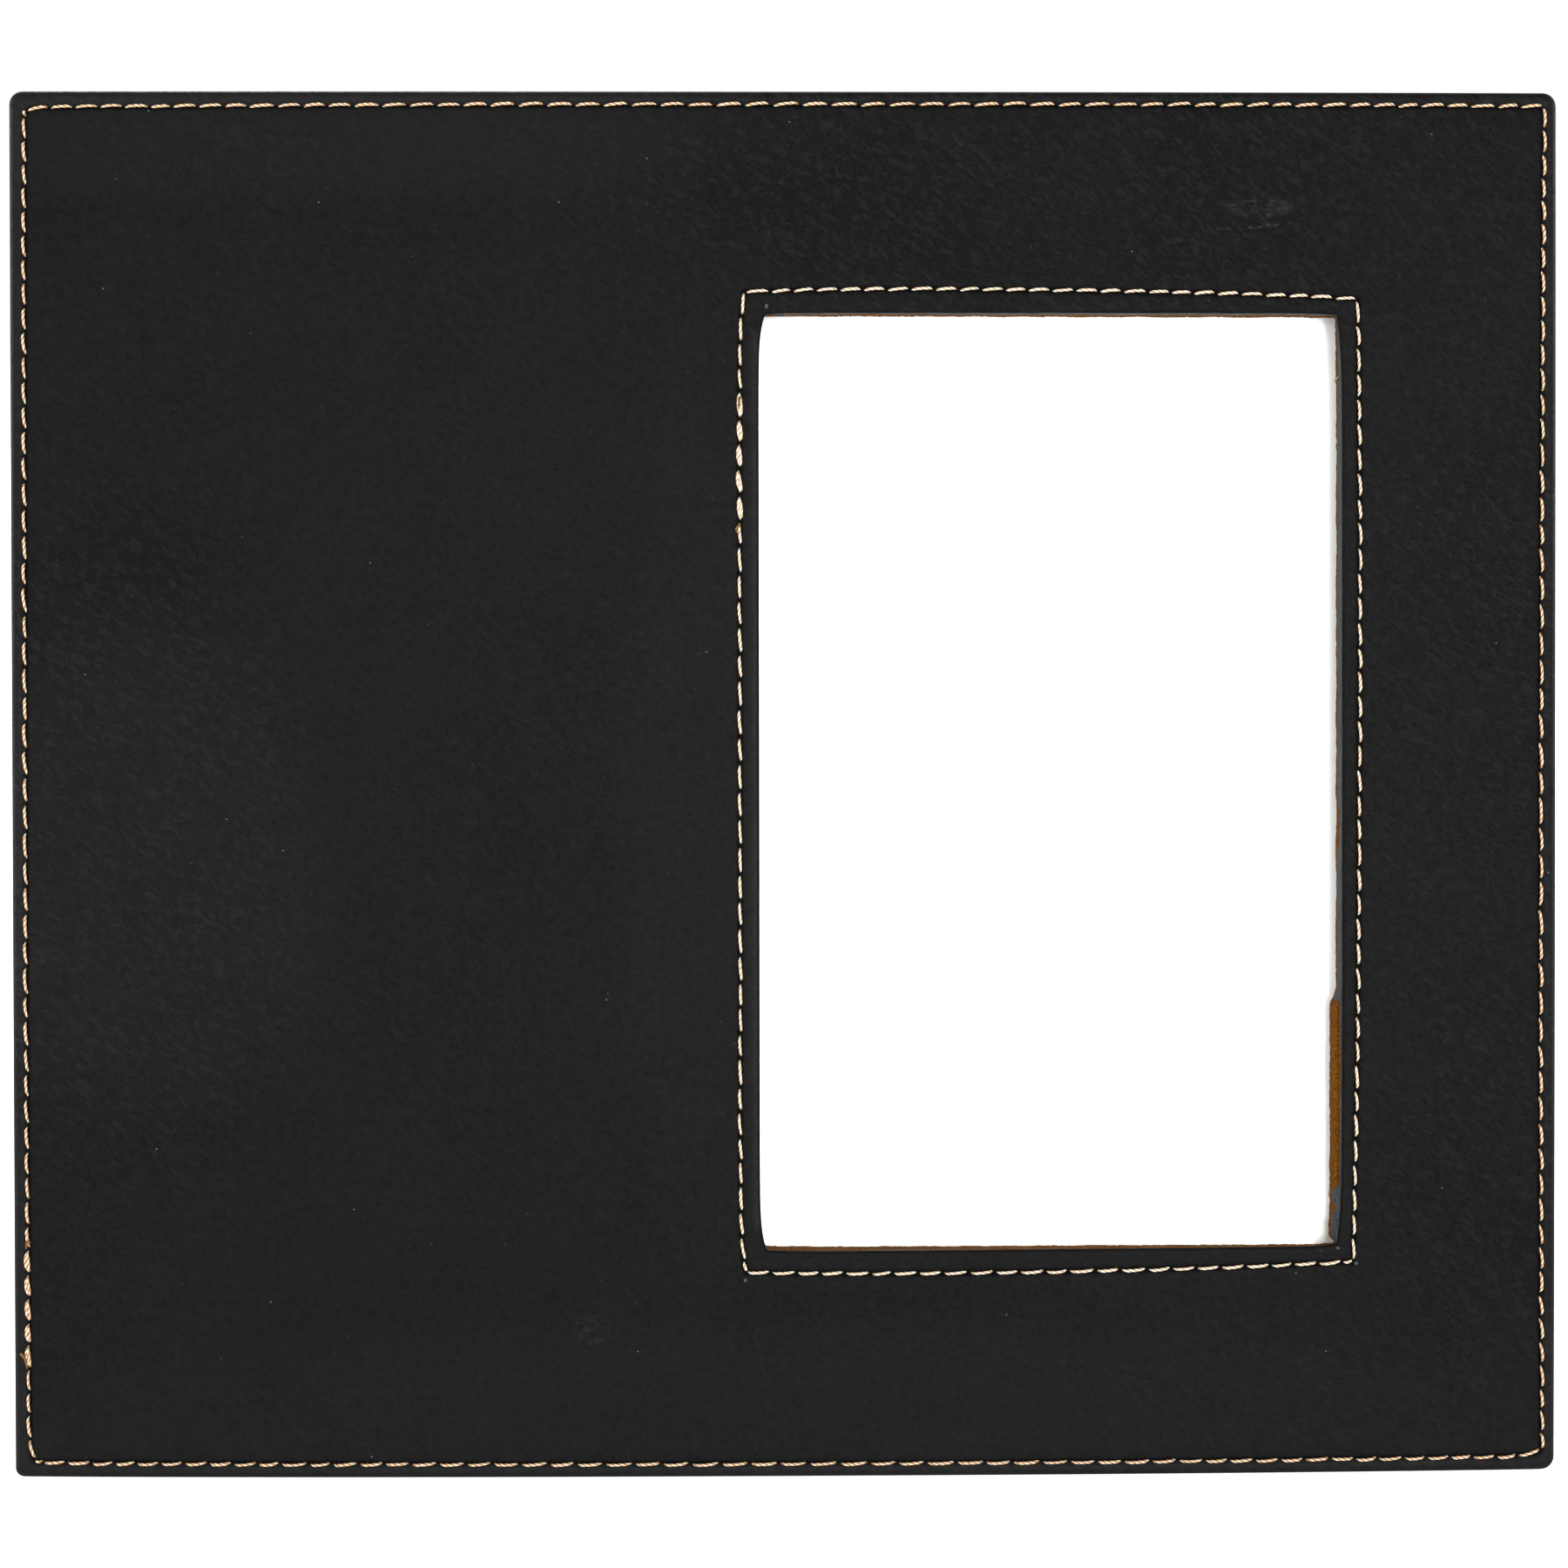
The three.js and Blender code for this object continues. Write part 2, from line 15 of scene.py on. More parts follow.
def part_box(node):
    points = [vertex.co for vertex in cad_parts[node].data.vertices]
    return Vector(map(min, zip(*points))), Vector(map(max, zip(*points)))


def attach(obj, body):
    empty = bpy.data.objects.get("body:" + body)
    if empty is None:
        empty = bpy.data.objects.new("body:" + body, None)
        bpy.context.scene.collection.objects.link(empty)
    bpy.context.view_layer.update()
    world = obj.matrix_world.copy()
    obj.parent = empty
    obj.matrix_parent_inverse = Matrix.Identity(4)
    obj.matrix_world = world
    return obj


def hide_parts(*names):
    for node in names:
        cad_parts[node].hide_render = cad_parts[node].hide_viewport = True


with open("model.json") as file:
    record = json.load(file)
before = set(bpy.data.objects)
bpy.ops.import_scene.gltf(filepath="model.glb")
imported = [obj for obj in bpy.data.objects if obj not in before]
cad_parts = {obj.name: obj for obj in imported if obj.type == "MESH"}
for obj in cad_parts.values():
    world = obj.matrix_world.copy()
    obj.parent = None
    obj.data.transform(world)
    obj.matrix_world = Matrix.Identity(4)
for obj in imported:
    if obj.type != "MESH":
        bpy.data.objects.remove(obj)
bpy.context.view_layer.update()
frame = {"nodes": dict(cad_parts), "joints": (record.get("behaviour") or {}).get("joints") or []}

# Driving sizes of the panel, in millimetres
DEPTH = 10.9
HEIGHT = 208.2
HEM_WIDTH = 15.2

# The panel's place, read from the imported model
button_axis = next(j for j in frame["joints"] if j["name"] == "button_1_turn")["axis"]
LEAN = math.atan2(-button_axis[2], button_axis[1])
cover_low, cover_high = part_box("front_cover")
WIDTH = 1000 * (cover_high[0] - cover_low[0])
PANEL_Y = cover_high[1] - (DEPTH * math.cos(LEAN) + HEIGHT * math.sin(LEAN)) / 1000
PANEL_Z = DEPTH * math.sin(LEAN) / 1000

# Corners of the outer edge, its seam, the window and the window's seam: lower left, lower right,
# upper right, upper left
EDGE_CORNERS = np.array([(-WIDTH / 2, 0), (WIDTH / 2, 0), (WIDTH / 2, HEIGHT), (-WIDTH / 2, HEIGHT)])
OUTER_SEAM_CORNERS = np.array([(-113.9, 2.4), (114.2, 2.3), (114.3, 206.0), (-113.8, 205.6)])
WINDOW_CORNERS = np.array([(-3.05, 33.9), (83.1, 34.45), (83.0, 174.7), (-3.05, 174.75)])
BOARD_CORNERS = np.array([(-3.9, 33.9), (83.7, 33.95), (83.7, 174.95), (-3.9, 175.1)])
WINDOW_SEAM_CORNERS = np.array([(-6.15, 30.65), (85.5, 31.9), (86.1, 177.0), (-6.1, 178.1)])
CORNER_RADII = (1.3, 2.0, 2.0, 2.0)
TIGHT_RADII = (0.25, 0.25, 0.25, 0.25)

# How far each side stands out between its corners: bottom, right, top, left
EDGE_BOWS = (0.5, 0.1, 0.1, 0.05)
OUTER_SEAM_BOWS = (0.7, -0.35, 0.35, 0.28)
WINDOW_BOWS = (0.3, 0.82, 0.2, 1.0)
BOARD_BOWS = (0.3, 0.22, 0.05, 0.4)
WINDOW_SEAM_BOWS = (0.72, 0.63, 0.8, 0.8)

# How squarely each side stands out: a higher number keeps the full bow nearer to its ends
EVEN_SHARPNESS = (2.5, 2.5, 2.5, 2.5)
BOARD_SHARPNESS = (14.0, 14.0, 14.0, 14.0)
WINDOW_SHARPNESS = (14.0, 14.0, 14.0, 26.0)
WINDOW_SEAM_SHARPNESS = (2.5, 2.5, 2.5, 20.0)

# The stretch of the window's right wall where the board is bare, how far it comes forward there,
# and where the leatherette stops above it
BARE_LOW = 43.3
BARE_HIGH = 71.6
BARE_STEP = 0.95
BARE_REACH = 0.95

# How deep the leatherette reaches into the window on each side, least and most, its round fold,
# and the depth in which it then slopes back to the board
MEAN_REACH = (1.2, 3.85, 3.0, 3.8)
LEAST_REACH = 0.9
MOST_REACH = 4.9
FOLD_ROUND = 0.45
FOLD_SLOPE = 1.8

# The turn-in's torn stretch low on the right: where it starts, its reach between the lobes, and each
# lobe's low end, high end and reach. Then the stretch with nicks, higher up on the same side, and the
# x from which a point is on that side
TORN_LOW = 34.8
TORN_REACH = 1.0
TORN_LOBES = ((TORN_LOW, 40.1, 3.7), (40.4, BARE_LOW, 3.3))
NICKS_LOW = 93.6
NICKS_HIGH = 100.6
RIGHT_WALL_FROM = 80

# Stitches on each side, short ones at its start or end, and how much closer they lie near its ends
OUTER_STITCHES = (57, 53, 57, 53)
WINDOW_STITCHES = (24, 39, 26, 37)
OUTER_SHORT_STARTS = (1.9, 0, 0, 1.3)
WINDOW_SHORT_ENDS = (1.5, 0, 0, 1.6)
NO_SHORT = (0, 0, 0, 0)
OUTER_CROWDING = (0.12, 0.1, 0.08, 0.08)
WINDOW_CROWDING = (0.02, 0.0, 0.0, 0.05)

# Stitches sewn twice on each seam's left side: how many, and how many stitches come before them
DOUBLED_STITCHES = 5
OUTER_BEFORE_DOUBLED = 45
WINDOW_BEFORE_DOUBLED = 4

# How far the corner holes lie off the outer seam's line
LOWER_LEFT_CUT = np.array([0.7, 0.3])
LOWER_RIGHT_CUT = np.array([0.0, 0.9])
UPPER_LEFT_CUT = np.array([0.15, -0.5])

# Sampling of the outlines, and sizes of the rounding, the furrow, the sheet beside it, the thread and
# the hem's mitre
SAMPLES = (295, 265, 295, 265)
CORNER_SAMPLES = 6
EDGE_ROUND = 1.3
VALLEY_DEPTH = 0.32
HOLE_DEPTH = 0.3
FURROW_WIDTH = 0.38
HOLE_WIDTH = 0.42
SEAM_ZONE = 6.0
THREAD_RADIUS = 0.23
MITRE_DEPTH = 0.28
MITRE_WIDTH = 0.35


def stand(points):
    """Panel millimetres to metres in the scene: turned back by LEAN about x, then moved."""
    points = np.asarray(points, dtype=float)
    x, y, z = points[..., 0], points[..., 1], points[..., 2]
    turned_y = y * math.cos(LEAN) + z * math.sin(LEAN)
    turned_z = z * math.cos(LEAN) - y * math.sin(LEAN)
    return np.stack([x / 1000, turned_y / 1000 + PANEL_Y, turned_z / 1000 + PANEL_Z], axis=-1)


def side_profile(shares, sharpness):
    """Bulge of a bowed side: 1 at its middle, 0 at both ends, flatter for a higher sharpness."""
    return 1 - np.abs(2 * shares - 1) ** sharpness


def side_points(corners, bows, side, shares, sharpness=EVEN_SHARPNESS):
    """Points along one side: the straight line between its corners plus the bow times the bulge."""
    start, end = corners[side], corners[(side + 1) % 4]
    along = (end - start) / np.linalg.norm(end - start)
    outward = np.array([along[1], -along[0]])
    bulge = side_profile(shares, sharpness[side])[:, None] * bows[side]
    return start + shares[:, None] * (end - start) + bulge * outward


def loop(corners, bows, radii, sharpness=EVEN_SHARPNESS, outset=0.0):
    """A closed outline, corner arc then side, from the lower left, set outwards by the outset."""
    pieces = []
    for side in range(4):
        start, end = corners[side], corners[(side + 1) % 4]
        before = corners[(side + 3) % 4]
        length = np.linalg.norm(end - start)
        along = (end - start) / length
        arriving = (start - before) / np.linalg.norm(start - before)
        out_now = np.array([along[1], -along[0]])
        out_before = np.array([arriving[1], -arriving[0]])
        radius = radii[side]
        centre = start + radius * (along - arriving)
        turns = np.linspace(0, math.pi / 2, CORNER_SAMPLES, endpoint=False)
        reach = radius + outset
        arc = np.cos(turns)[:, None] * out_before + np.sin(turns)[:, None] * out_now
        pieces.append(centre + reach * arc)
        margin = radius / length
        far_margin = radii[(side + 1) % 4] / length
        shares = np.linspace(margin, 1 - far_margin, SAMPLES[side], endpoint=False)
        line = side_points(corners, bows, side, shares, sharpness)
        pieces.append(line + outset * out_now)
    return np.concatenate(pieces)


def make_piece(name, points, faces, uv=None, smooth=True):
    """An object of its own from a grid of points in metres, its faces and a uv for each point."""
    mesh = bpy.data.meshes.new(name)
    mesh.from_pydata(points.reshape(-1, 3).tolist(), [], faces.tolist())
    if smooth:
        mesh.shade_smooth()
    if uv is not None:
        layer = mesh.uv_layers.new(name="UVMap")
        corner = np.empty(len(mesh.loops), dtype=np.int32)
        mesh.loops.foreach_get("vertex_index", corner)
        layer.data.foreach_set("uv", uv.reshape(-1, 2)[corner].astype(np.float32).ravel())
    mesh.update()
    piece = bpy.data.objects.new(name, mesh)
    bpy.context.scene.collection.objects.link(piece)
    return piece


def grid_faces(rows, columns, close_rows=False, close_columns=True):
    """Quads of a grid of points, joined end to start along the directions that are closed."""
    row = np.arange(rows if close_rows else rows - 1)
    column = np.arange(columns if close_columns else columns - 1)
    row, column = np.meshgrid(row, column, indexing="ij")
    next_row, next_column = (row + 1) % rows, (column + 1) % columns
    corners = [row * columns + column, row * columns + next_column,
               next_row * columns + next_column, next_row * columns + column]
    return np.stack([corner.ravel() for corner in corners], axis=1)


def paint_points(piece, name, values):
    """A number for each point, kept as an attribute that a material can read."""
    attribute = piece.data.attributes.new(name, "FLOAT", "POINT")
    attribute.data.foreach_set("value", np.asarray(values, dtype=np.float32).ravel())


def waves(x, z, seed, count=7, shortest=14.0, longest=70.0):
    """Sum of a few sine waves of seeded directions and lengths, about -1 to 1."""
    random = np.random.default_rng(seed)
    total = np.zeros_like(x)
    for _ in range(count):
        angle, phase = random.uniform(0, math.pi), random.uniform(0, 2 * math.pi)
        length = random.uniform(shortest, longest)
        total += np.sin(2 * math.pi * (x * math.cos(angle) + z * math.sin(angle)) / length + phase)
    return total / math.sqrt(count)


def needle_holes(corners, bows, stitches, shorts, crowding, seed, sharpness=EVEN_SHARPNESS):
    """Needle holes along a seam with a little sewing wander. Each side has a whole number of
    stitches, closer together towards its ends by one sine wave, and one more, of the length
    given, where its seam starts or ends with a short one."""
    random = np.random.default_rng(seed)
    short_starts, short_ends = shorts
    holes = []
    for side, count in enumerate(stitches):
        length = np.linalg.norm(corners[(side + 1) % 4] - corners[side])
        first, last = short_starts[side] / length, short_ends[side] / length
        even = np.arange(count) / count
        crowded = even - crowding[side] * np.sin(2 * math.pi * even) / (2 * math.pi)
        shares = first + (1 - first - last) * crowded
        shares[1:] += random.normal(0, 0.035, count - 1) / count
        if first:
            shares = np.concatenate([[0], shares])
        if last:
            shares = np.concatenate([shares, [1 - last]])
        holes.append(side_points(corners, bows, side, shares, sharpness))
    holes = np.concatenate(holes)
    return holes + random.normal(0, 0.03, holes.shape)


def nearest_hole(points, holes):
    """Distance from each point of a row to the nearest needle hole."""
    away = points[:, None, :] - holes[None, :, :]
    return np.sqrt((away ** 2).sum(axis=2).min(axis=1))


def seam_dip(distance, hole_distance):
    """Depth of the stitched furrow: a Gaussian valley across it and a deeper pit at each hole."""
    furrow = VALLEY_DEPTH * np.exp(-(distance / FURROW_WIDTH) ** 2)
    pit = HOLE_DEPTH * np.exp(-(hole_distance / HOLE_WIDTH) ** 2)
    return furrow + pit


def furrow_shade(distance):
    """Painted shade across the furrow: brightness nearly black at its bottom."""
    return 1 - 0.92 * np.exp(-(distance / FURROW_WIDTH) ** 2)


outer_holes = needle_holes(OUTER_SEAM_CORNERS, OUTER_SEAM_BOWS, OUTER_STITCHES,
                           (OUTER_SHORT_STARTS, NO_SHORT), OUTER_CROWDING, 11)
outer_holes[0] += LOWER_LEFT_CUT
outer_holes[1 + OUTER_STITCHES[0]] += LOWER_RIGHT_CUT
outer_holes[1 + sum(OUTER_STITCHES[:3])] += UPPER_LEFT_CUT
window_holes = needle_holes(WINDOW_SEAM_CORNERS, WINDOW_SEAM_BOWS, WINDOW_STITCHES,
                            (NO_SHORT, WINDOW_SHORT_ENDS), WINDOW_CROWDING, 12, WINDOW_SEAM_SHARPNESS)


def board_line():
    """The board's own edge round the window. It lies behind the leatherette's, and comes forward
    by a ramped BARE_STEP low on the right, where the wall is bare."""
    line = board_outline()
    x, z = line[:, 0], line[:, 1]
    start = np.clip((z - 34.0) / 1.0, 0, 1)
    end = np.clip((BARE_HIGH + 1 - z) / 2, 0, 1)
    line[:, 0] -= np.where(x > RIGHT_WALL_FROM, BARE_STEP * start * end, 0)
    return line


def window_outline():
    """Where the leatherette turns down into the window."""
    return loop(WINDOW_CORNERS, WINDOW_BOWS, TIGHT_RADII, WINDOW_SHARPNESS)


def board_outline(outset=0.0):
    """The board's opening without its bare step."""
    return loop(BOARD_CORNERS, BOARD_BOWS, TIGHT_RADII, BOARD_SHARPNESS, outset)


def way_to_board(depth):
    """Share of the way from the leatherette's edge to the board's that the flap is at a depth."""
    return np.clip((depth - FOLD_ROUND) / FOLD_SLOPE, 0, 1)


def flap_ends(outline, random):
    """How deep the leatherette reaches into the window at each point of its outline.

    Each side has its own mean reach plus a ragged wander, and the right wall is bare from
    BARE_LOW to BARE_HIGH, where the cover stops at its front edge."""
    count = len(outline)
    starts = np.cumsum([0] + [CORNER_SAMPLES + samples for samples in SAMPLES])
    reach = np.empty(count)
    for side, mean in enumerate(MEAN_REACH):
        reach[starts[side]:starts[side + 1]] = mean
    ragged = np.convolve(random.normal(0, 1, count + 8), np.ones(9) / 3, mode="valid")
    x, z = outline[:, 0], outline[:, 1]
    reach += 0.14 * ragged + 0.12 * waves(x, z, 5, shortest=5, longest=22)
    on_right = x > RIGHT_WALL_FROM
    bare = on_right & (z > BARE_LOW) & (z < BARE_HIGH)
    reach[bare] = BARE_REACH
    for low, high, deepest in TORN_LOBES:
        lobe = on_right & (z > low) & (z < high)
        swell = np.sin((z[lobe] - low) / (high - low) * math.pi) ** 0.6
        reach[lobe] = TORN_REACH + (deepest - TORN_REACH) * swell
    nicked = on_right & (z > NICKS_LOW) & (z < NICKS_HIGH)
    reach[nicked] -= 1.4 * np.abs(np.sin(z[nicked] * 1.3))
    near_end = on_right & (z < TORN_LOW)
    reach[near_end] = TORN_REACH
    left_bottom = (z < 40) & (x < 4.5)
    reach[left_bottom] = LEAST_REACH
    reach[(z > 174) & (x < 0.5)] = MOST_REACH
    return np.clip(reach, LEAST_REACH, MOST_REACH)


def leather_cover():
    """The wrapped sheet as one closed grid: rows run from the hem's inner edge over the back, the
    sides and the front into the window, and home along the sheet's inner side."""
    rows, heights, shades, linings = [], [], [], []

    # A row's shade is painted light and shade on the leatherette: below 1 painted shade, above 1 painted
    # light.
    def add_row(outline, height, shade=1.0, lining=0.0):
        rows.append(outline)
        heights.append(np.broadcast_to(height, len(outline)))
        shades.append(np.broadcast_to(shade, len(outline)))
        linings.append(np.broadcast_to(lining, len(outline)))

    def edge_loop(inset, bowed=0.0):
        """The outer edge set inwards by the inset, with a share of its bow."""
        radii = [max(0.25, radius - 0.45 * inset) for radius in CORNER_RADII]
        corners = EDGE_CORNERS + inset * np.array([(1, 1), (-1, 1), (-1, -1), (1, -1)])
        return loop(corners, [bowed * bow for bow in EDGE_BOWS], radii)

    def fold_line(outline, inset):
        """The mitre at each corner of the hem, a shallow groove along the diagonal."""
        from_side = WIDTH / 2 - np.abs(outline[:, 0])
        from_end = np.minimum(outline[:, 1], HEIGHT - outline[:, 1])
        off_mitre = (from_side - from_end) / MITRE_WIDTH
        return MITRE_DEPTH * np.exp(-off_mitre ** 2) * min(1.0, inset / 2)

    rear = DEPTH - 0.05
    for inset in (HEM_WIDTH, HEM_WIDTH - 0.15):
        outline = edge_loop(inset)
        add_row(outline, rear - (0.45 if inset == HEM_WIDTH else 0.08))
    # Rows over the back, the sides and the rounded edge carry painted light: a shade of 1.6 to 1.7, lighter
    # than the front.
    for inset in (14.6, 13, 11, 9, 7, 5, 3, 1.6, 0.9):
        outline = edge_loop(inset)
        ripple = 0.03 * waves(outline[:, 0], outline[:, 1], 3)
        add_row(outline, rear - fold_line(outline, inset) - ripple, 1.6)
    for turn in np.linspace(0.25, 1, 4) * math.pi / 2:
        add_row(edge_loop(0.7 * (1 - math.sin(turn))), rear - 0.7 * (1 - math.cos(turn)), 1.6)
    for height in (8.0, 5.5, 3.2):
        add_row(edge_loop(0, 1 - height / DEPTH), height, 1.6)
    for turn in np.linspace(0, 0.86, 6) * math.pi / 2:
        outline = edge_loop(EDGE_ROUND * (1 - math.cos(turn)), 1.0)
        add_row(outline, EDGE_ROUND * (1 - math.sin(turn)), 1.7)

    seam = loop(OUTER_SEAM_CORNERS, OUTER_SEAM_BOWS, (1.0, 1.0, 1.0, 1.0))
    outer_edge = edge_loop(EDGE_ROUND, 1.0)
    # Painted highlight on the strip outside the outer seam, lightest towards the rounded edge.
    for share in (0.2, 0.45, 0.68, 0.86):
        outline = outer_edge + share * (seam - outer_edge)
        distance = np.linalg.norm(outline - seam, axis=1)
        dip = seam_dip(distance, nearest_hole(outline, outer_holes))
        add_row(outline, dip + 0.04 * (1 - share), 1.9 - 0.6 * share)
    inner_zone = loop(OUTER_SEAM_CORNERS + SEAM_ZONE * np.array([(1, 1), (-1, 1), (-1, -1), (1, -1)]),
                      OUTER_SEAM_BOWS, (1.5, 1.5, 1.5, 1.5))
    window_zone = loop(WINDOW_SEAM_CORNERS + SEAM_ZONE * np.array([(-1, -1), (1, -1), (1, 1), (-1, 1)]),
                       WINDOW_SEAM_BOWS, (1.5, 1.5, 1.5, 1.5))
    # Painted shade along the furrow of the outer seam.
    for distance in (0, 0.18, 0.36, 0.54, 0.78, 1.2, 2.0, 3.0, 4.5):
        outline = seam + distance / SEAM_ZONE * (inner_zone - seam)
        hole_distance = nearest_hole(outline, outer_holes)
        puff = 0.06 * math.exp(-((distance - 2.4) / 1.1) ** 2)
        add_row(outline, seam_dip(distance, hole_distance) - puff, furrow_shade(distance))
    for share in (0, 0.06, 0.14, 0.24, 0.36, 0.5, 0.64, 0.78, 0.9, 1):
        outline = inner_zone + share * (window_zone - inner_zone)
        middle = math.sin(math.pi * share)
        height = 0.07 * waves(outline[:, 0], outline[:, 1], 8) * (0.3 + middle)
        add_row(outline, height)

    window_seam = loop(WINDOW_SEAM_CORNERS, WINDOW_SEAM_BOWS, (0.5, 0.5, 0.5, 0.5),
                       WINDOW_SEAM_SHARPNESS)
    window_edge = window_outline()
    # Painted shade along the furrow of the window seam.
    for distance in (4.0, 2.6, 1.7, 1.1, 0.72, 0.5, 0.34, 0.17, 0):
        outline = window_seam + distance / SEAM_ZONE * (window_zone - window_seam)
        hole_distance = nearest_hole(outline, window_holes)
        puff = 0.05 * math.exp(-(distance - 2.2) ** 2)
        add_row(outline, seam_dip(distance, hole_distance) - puff, furrow_shade(distance))
    for share in (0.09, 0.18, 0.28, 0.42, 0.6, 0.74, 0.84):
        outline = window_seam + share * (window_edge - window_seam)
        distance = np.linalg.norm(outline - window_seam, axis=1)
        hole_distance = nearest_hole(outline, window_holes)
        # Painted highlight on the rolled window edge along its left side, added to the painted shade of the
        # furrow.
        on_left = (outline[:, 0] < -2) & (outline[:, 1] > 37) & (outline[:, 1] < 172)
        edge_light = np.where(on_left, 1.5 * math.exp(-((share - 0.85) / 0.25) ** 2), 0)
        shade = edge_light + 1.12 - np.exp(-(distance / FURROW_WIDTH) ** 2)
        add_row(outline, seam_dip(distance, hole_distance) - 0.03, shade)

    random = np.random.default_rng(21)
    ends = flap_ends(window_edge, random)
    # How much grey cloth lining shows on each side of the window is painted light: most on the right wall,
    # some on the top, little elsewhere.
    on_top = (window_edge[:, 1] > 174) & (window_edge[:, 0] > 0.5)
    painted_light_lining = np.where(window_edge[:, 0] > 80, 1.0, np.where(on_top, 0.4, 0.08))
    inward = window_edge - (window_seam + 0.84 * (window_edge - window_seam))
    inward /= np.linalg.norm(inward, axis=1)[:, None]
    for turn in np.linspace(0.15, 1, 5) * math.pi / 2:
        outline = window_edge - FOLD_ROUND * (1 - math.sin(turn)) * inward
        add_row(outline, FOLD_ROUND * (1 - math.cos(turn)))
    to_board = board_line() - window_edge

    def flap_row(depth, outset):
        """Outline of the flap at a depth, on its way from the leatherette's edge to the board."""
        return window_edge + way_to_board(depth)[:, None] * to_board - outset * inward

    for share in (0.12, 0.3, 0.5, 0.7, 0.86, 0.96):
        depth = FOLD_ROUND + share * (ends - FOLD_ROUND)
        wobble = 0.04 * waves(window_edge[:, 0] * 4, window_edge[:, 1] * 4 + 9 * share, 31)
        add_row(flap_row(depth, wobble.clip(0)[:, None]), depth, 1.0, painted_light_lining)
    # Painted shade at the flap's cut end, deep in the window: shade 0.9 and 0.8.
    add_row(flap_row(ends, 0.25), ends, 0.9, 1.0)
    add_row(flap_row(ends, 0.5), ends - 0.02, 0.8, 1.0)
    add_row(window_edge - 0.55 * inward, np.full(len(window_edge), 0.85), 0.8, 1.0)
    add_row(inner_zone, np.full(len(window_edge), 0.9))
    add_row(edge_loop(0.9), 1.1)
    add_row(edge_loop(0.9), DEPTH - 0.8)
    add_row(edge_loop(HEM_WIDTH), DEPTH - 0.75)

    outline = np.stack(rows)
    points = np.stack([outline[..., 0], np.stack(heights), outline[..., 1]], axis=-1)
    count, columns = points.shape[:2]
    cover = make_piece("leather_cover", stand(points), grid_faces(count, columns, close_rows=True))
    paint_points(cover, "shade", np.stack(shades))
    paint_points(cover, "lining", np.stack(linings))
    return cover


def stitch_tube(start, end, outward, radius, lobes_turn, bulge, slant, rings=8, sides=6):
    """One stitch: a tube from hole to hole that dives at both ends.

    The centre runs straight from start to end, plus a slant across it, an outward bulge as a
    half sine, and a depth that grows as the fifth power towards the ends. The section is round
    with two lobes that turn along it, as twisted thread does."""
    share = np.linspace(0, 1, rings)
    along = end - start
    length = np.linalg.norm(along)
    along = along / length
    run = 0.07 + 0.86 * share
    across = bulge * np.sin(math.pi * share) + slant * (0.5 - share) * 2
    depth = -0.08 + 0.66 * np.abs(2 * share - 1) ** 5
    flat = start + run[:, None] * length * along + across[:, None] * outward
    angle = np.linspace(0, 2 * math.pi, sides, endpoint=False)
    swell = 1 - 0.35 * np.abs(2 * share - 1) ** 6
    lobes = 1 + 0.16 * np.cos(2 * (angle[None, :] - lobes_turn * share[:, None] * 2 * math.pi))
    section = radius * swell[:, None] * lobes
    side = section * np.cos(angle)[None, :]
    rise = section * np.sin(angle)[None, :]
    x = flat[:, None, 0] + side * outward[0]
    z = flat[:, None, 1] + side * outward[1]
    points = np.stack([x, depth[:, None] - rise, z], axis=-1)
    around = np.broadcast_to(angle[None, :] / (2 * math.pi), (rings, sides))
    uv = np.stack([np.broadcast_to(share[:, None] * length, (rings, sides)), around], axis=-1)
    return points, uv


def sew(name, holes, doubled, seed, twist):
    """All the stitches of a seam in one mesh, each a closed tube; doubled ones lie side by side."""
    random = np.random.default_rng(seed)
    count = len(holes)
    grids, textures = [], []
    for index in range(count):
        start, end = holes[index], holes[(index + 1) % count]
        along = (end - start) / np.linalg.norm(end - start)
        outward = np.array([along[1], -along[0]])
        slant = 0.13 + random.normal(0, 0.035)
        bulge = 0.06 + random.normal(0, 0.03)
        radius = THREAD_RADIUS * random.uniform(0.92, 1.08)
        offsets = (-0.15, 0.15) if index in doubled else (0,)
        for offset in offsets:
            arch = bulge + 1.4 * offset
            points, uv = stitch_tube(start, end, outward, radius, twist, arch, slant - 0.3 * offset)
            uv = uv + np.array([random.uniform(0, 5), 0])
            grids.append(points)
            textures.append(uv)
    grids, textures = np.stack(grids), np.stack(textures)
    tubes, rings, sides = grids.shape[:3]
    quads = grid_faces(rings, sides)
    first_points = (np.arange(tubes) * rings * sides)[:, None, None]
    faces = (quads[None] + first_points).reshape(-1, 4)
    thread = make_piece(name, stand(grids), faces[:, ::-1], textures)
    close_ends(thread, tubes, rings, sides)
    return thread


def close_ends(thread, tubes, rings, sides):
    """Fills each tube's two ends with one flat face, deep in its needle hole."""
    mesh = bmesh.new()
    mesh.from_mesh(thread.data)
    bmesh.ops.holes_fill(mesh, edges=[edge for edge in mesh.edges if edge.is_boundary], sides=sides)
    bmesh.ops.recalc_face_normals(mesh, faces=mesh.faces)
    mesh.to_mesh(thread.data)
    mesh.free()
    thread.data.shade_smooth()


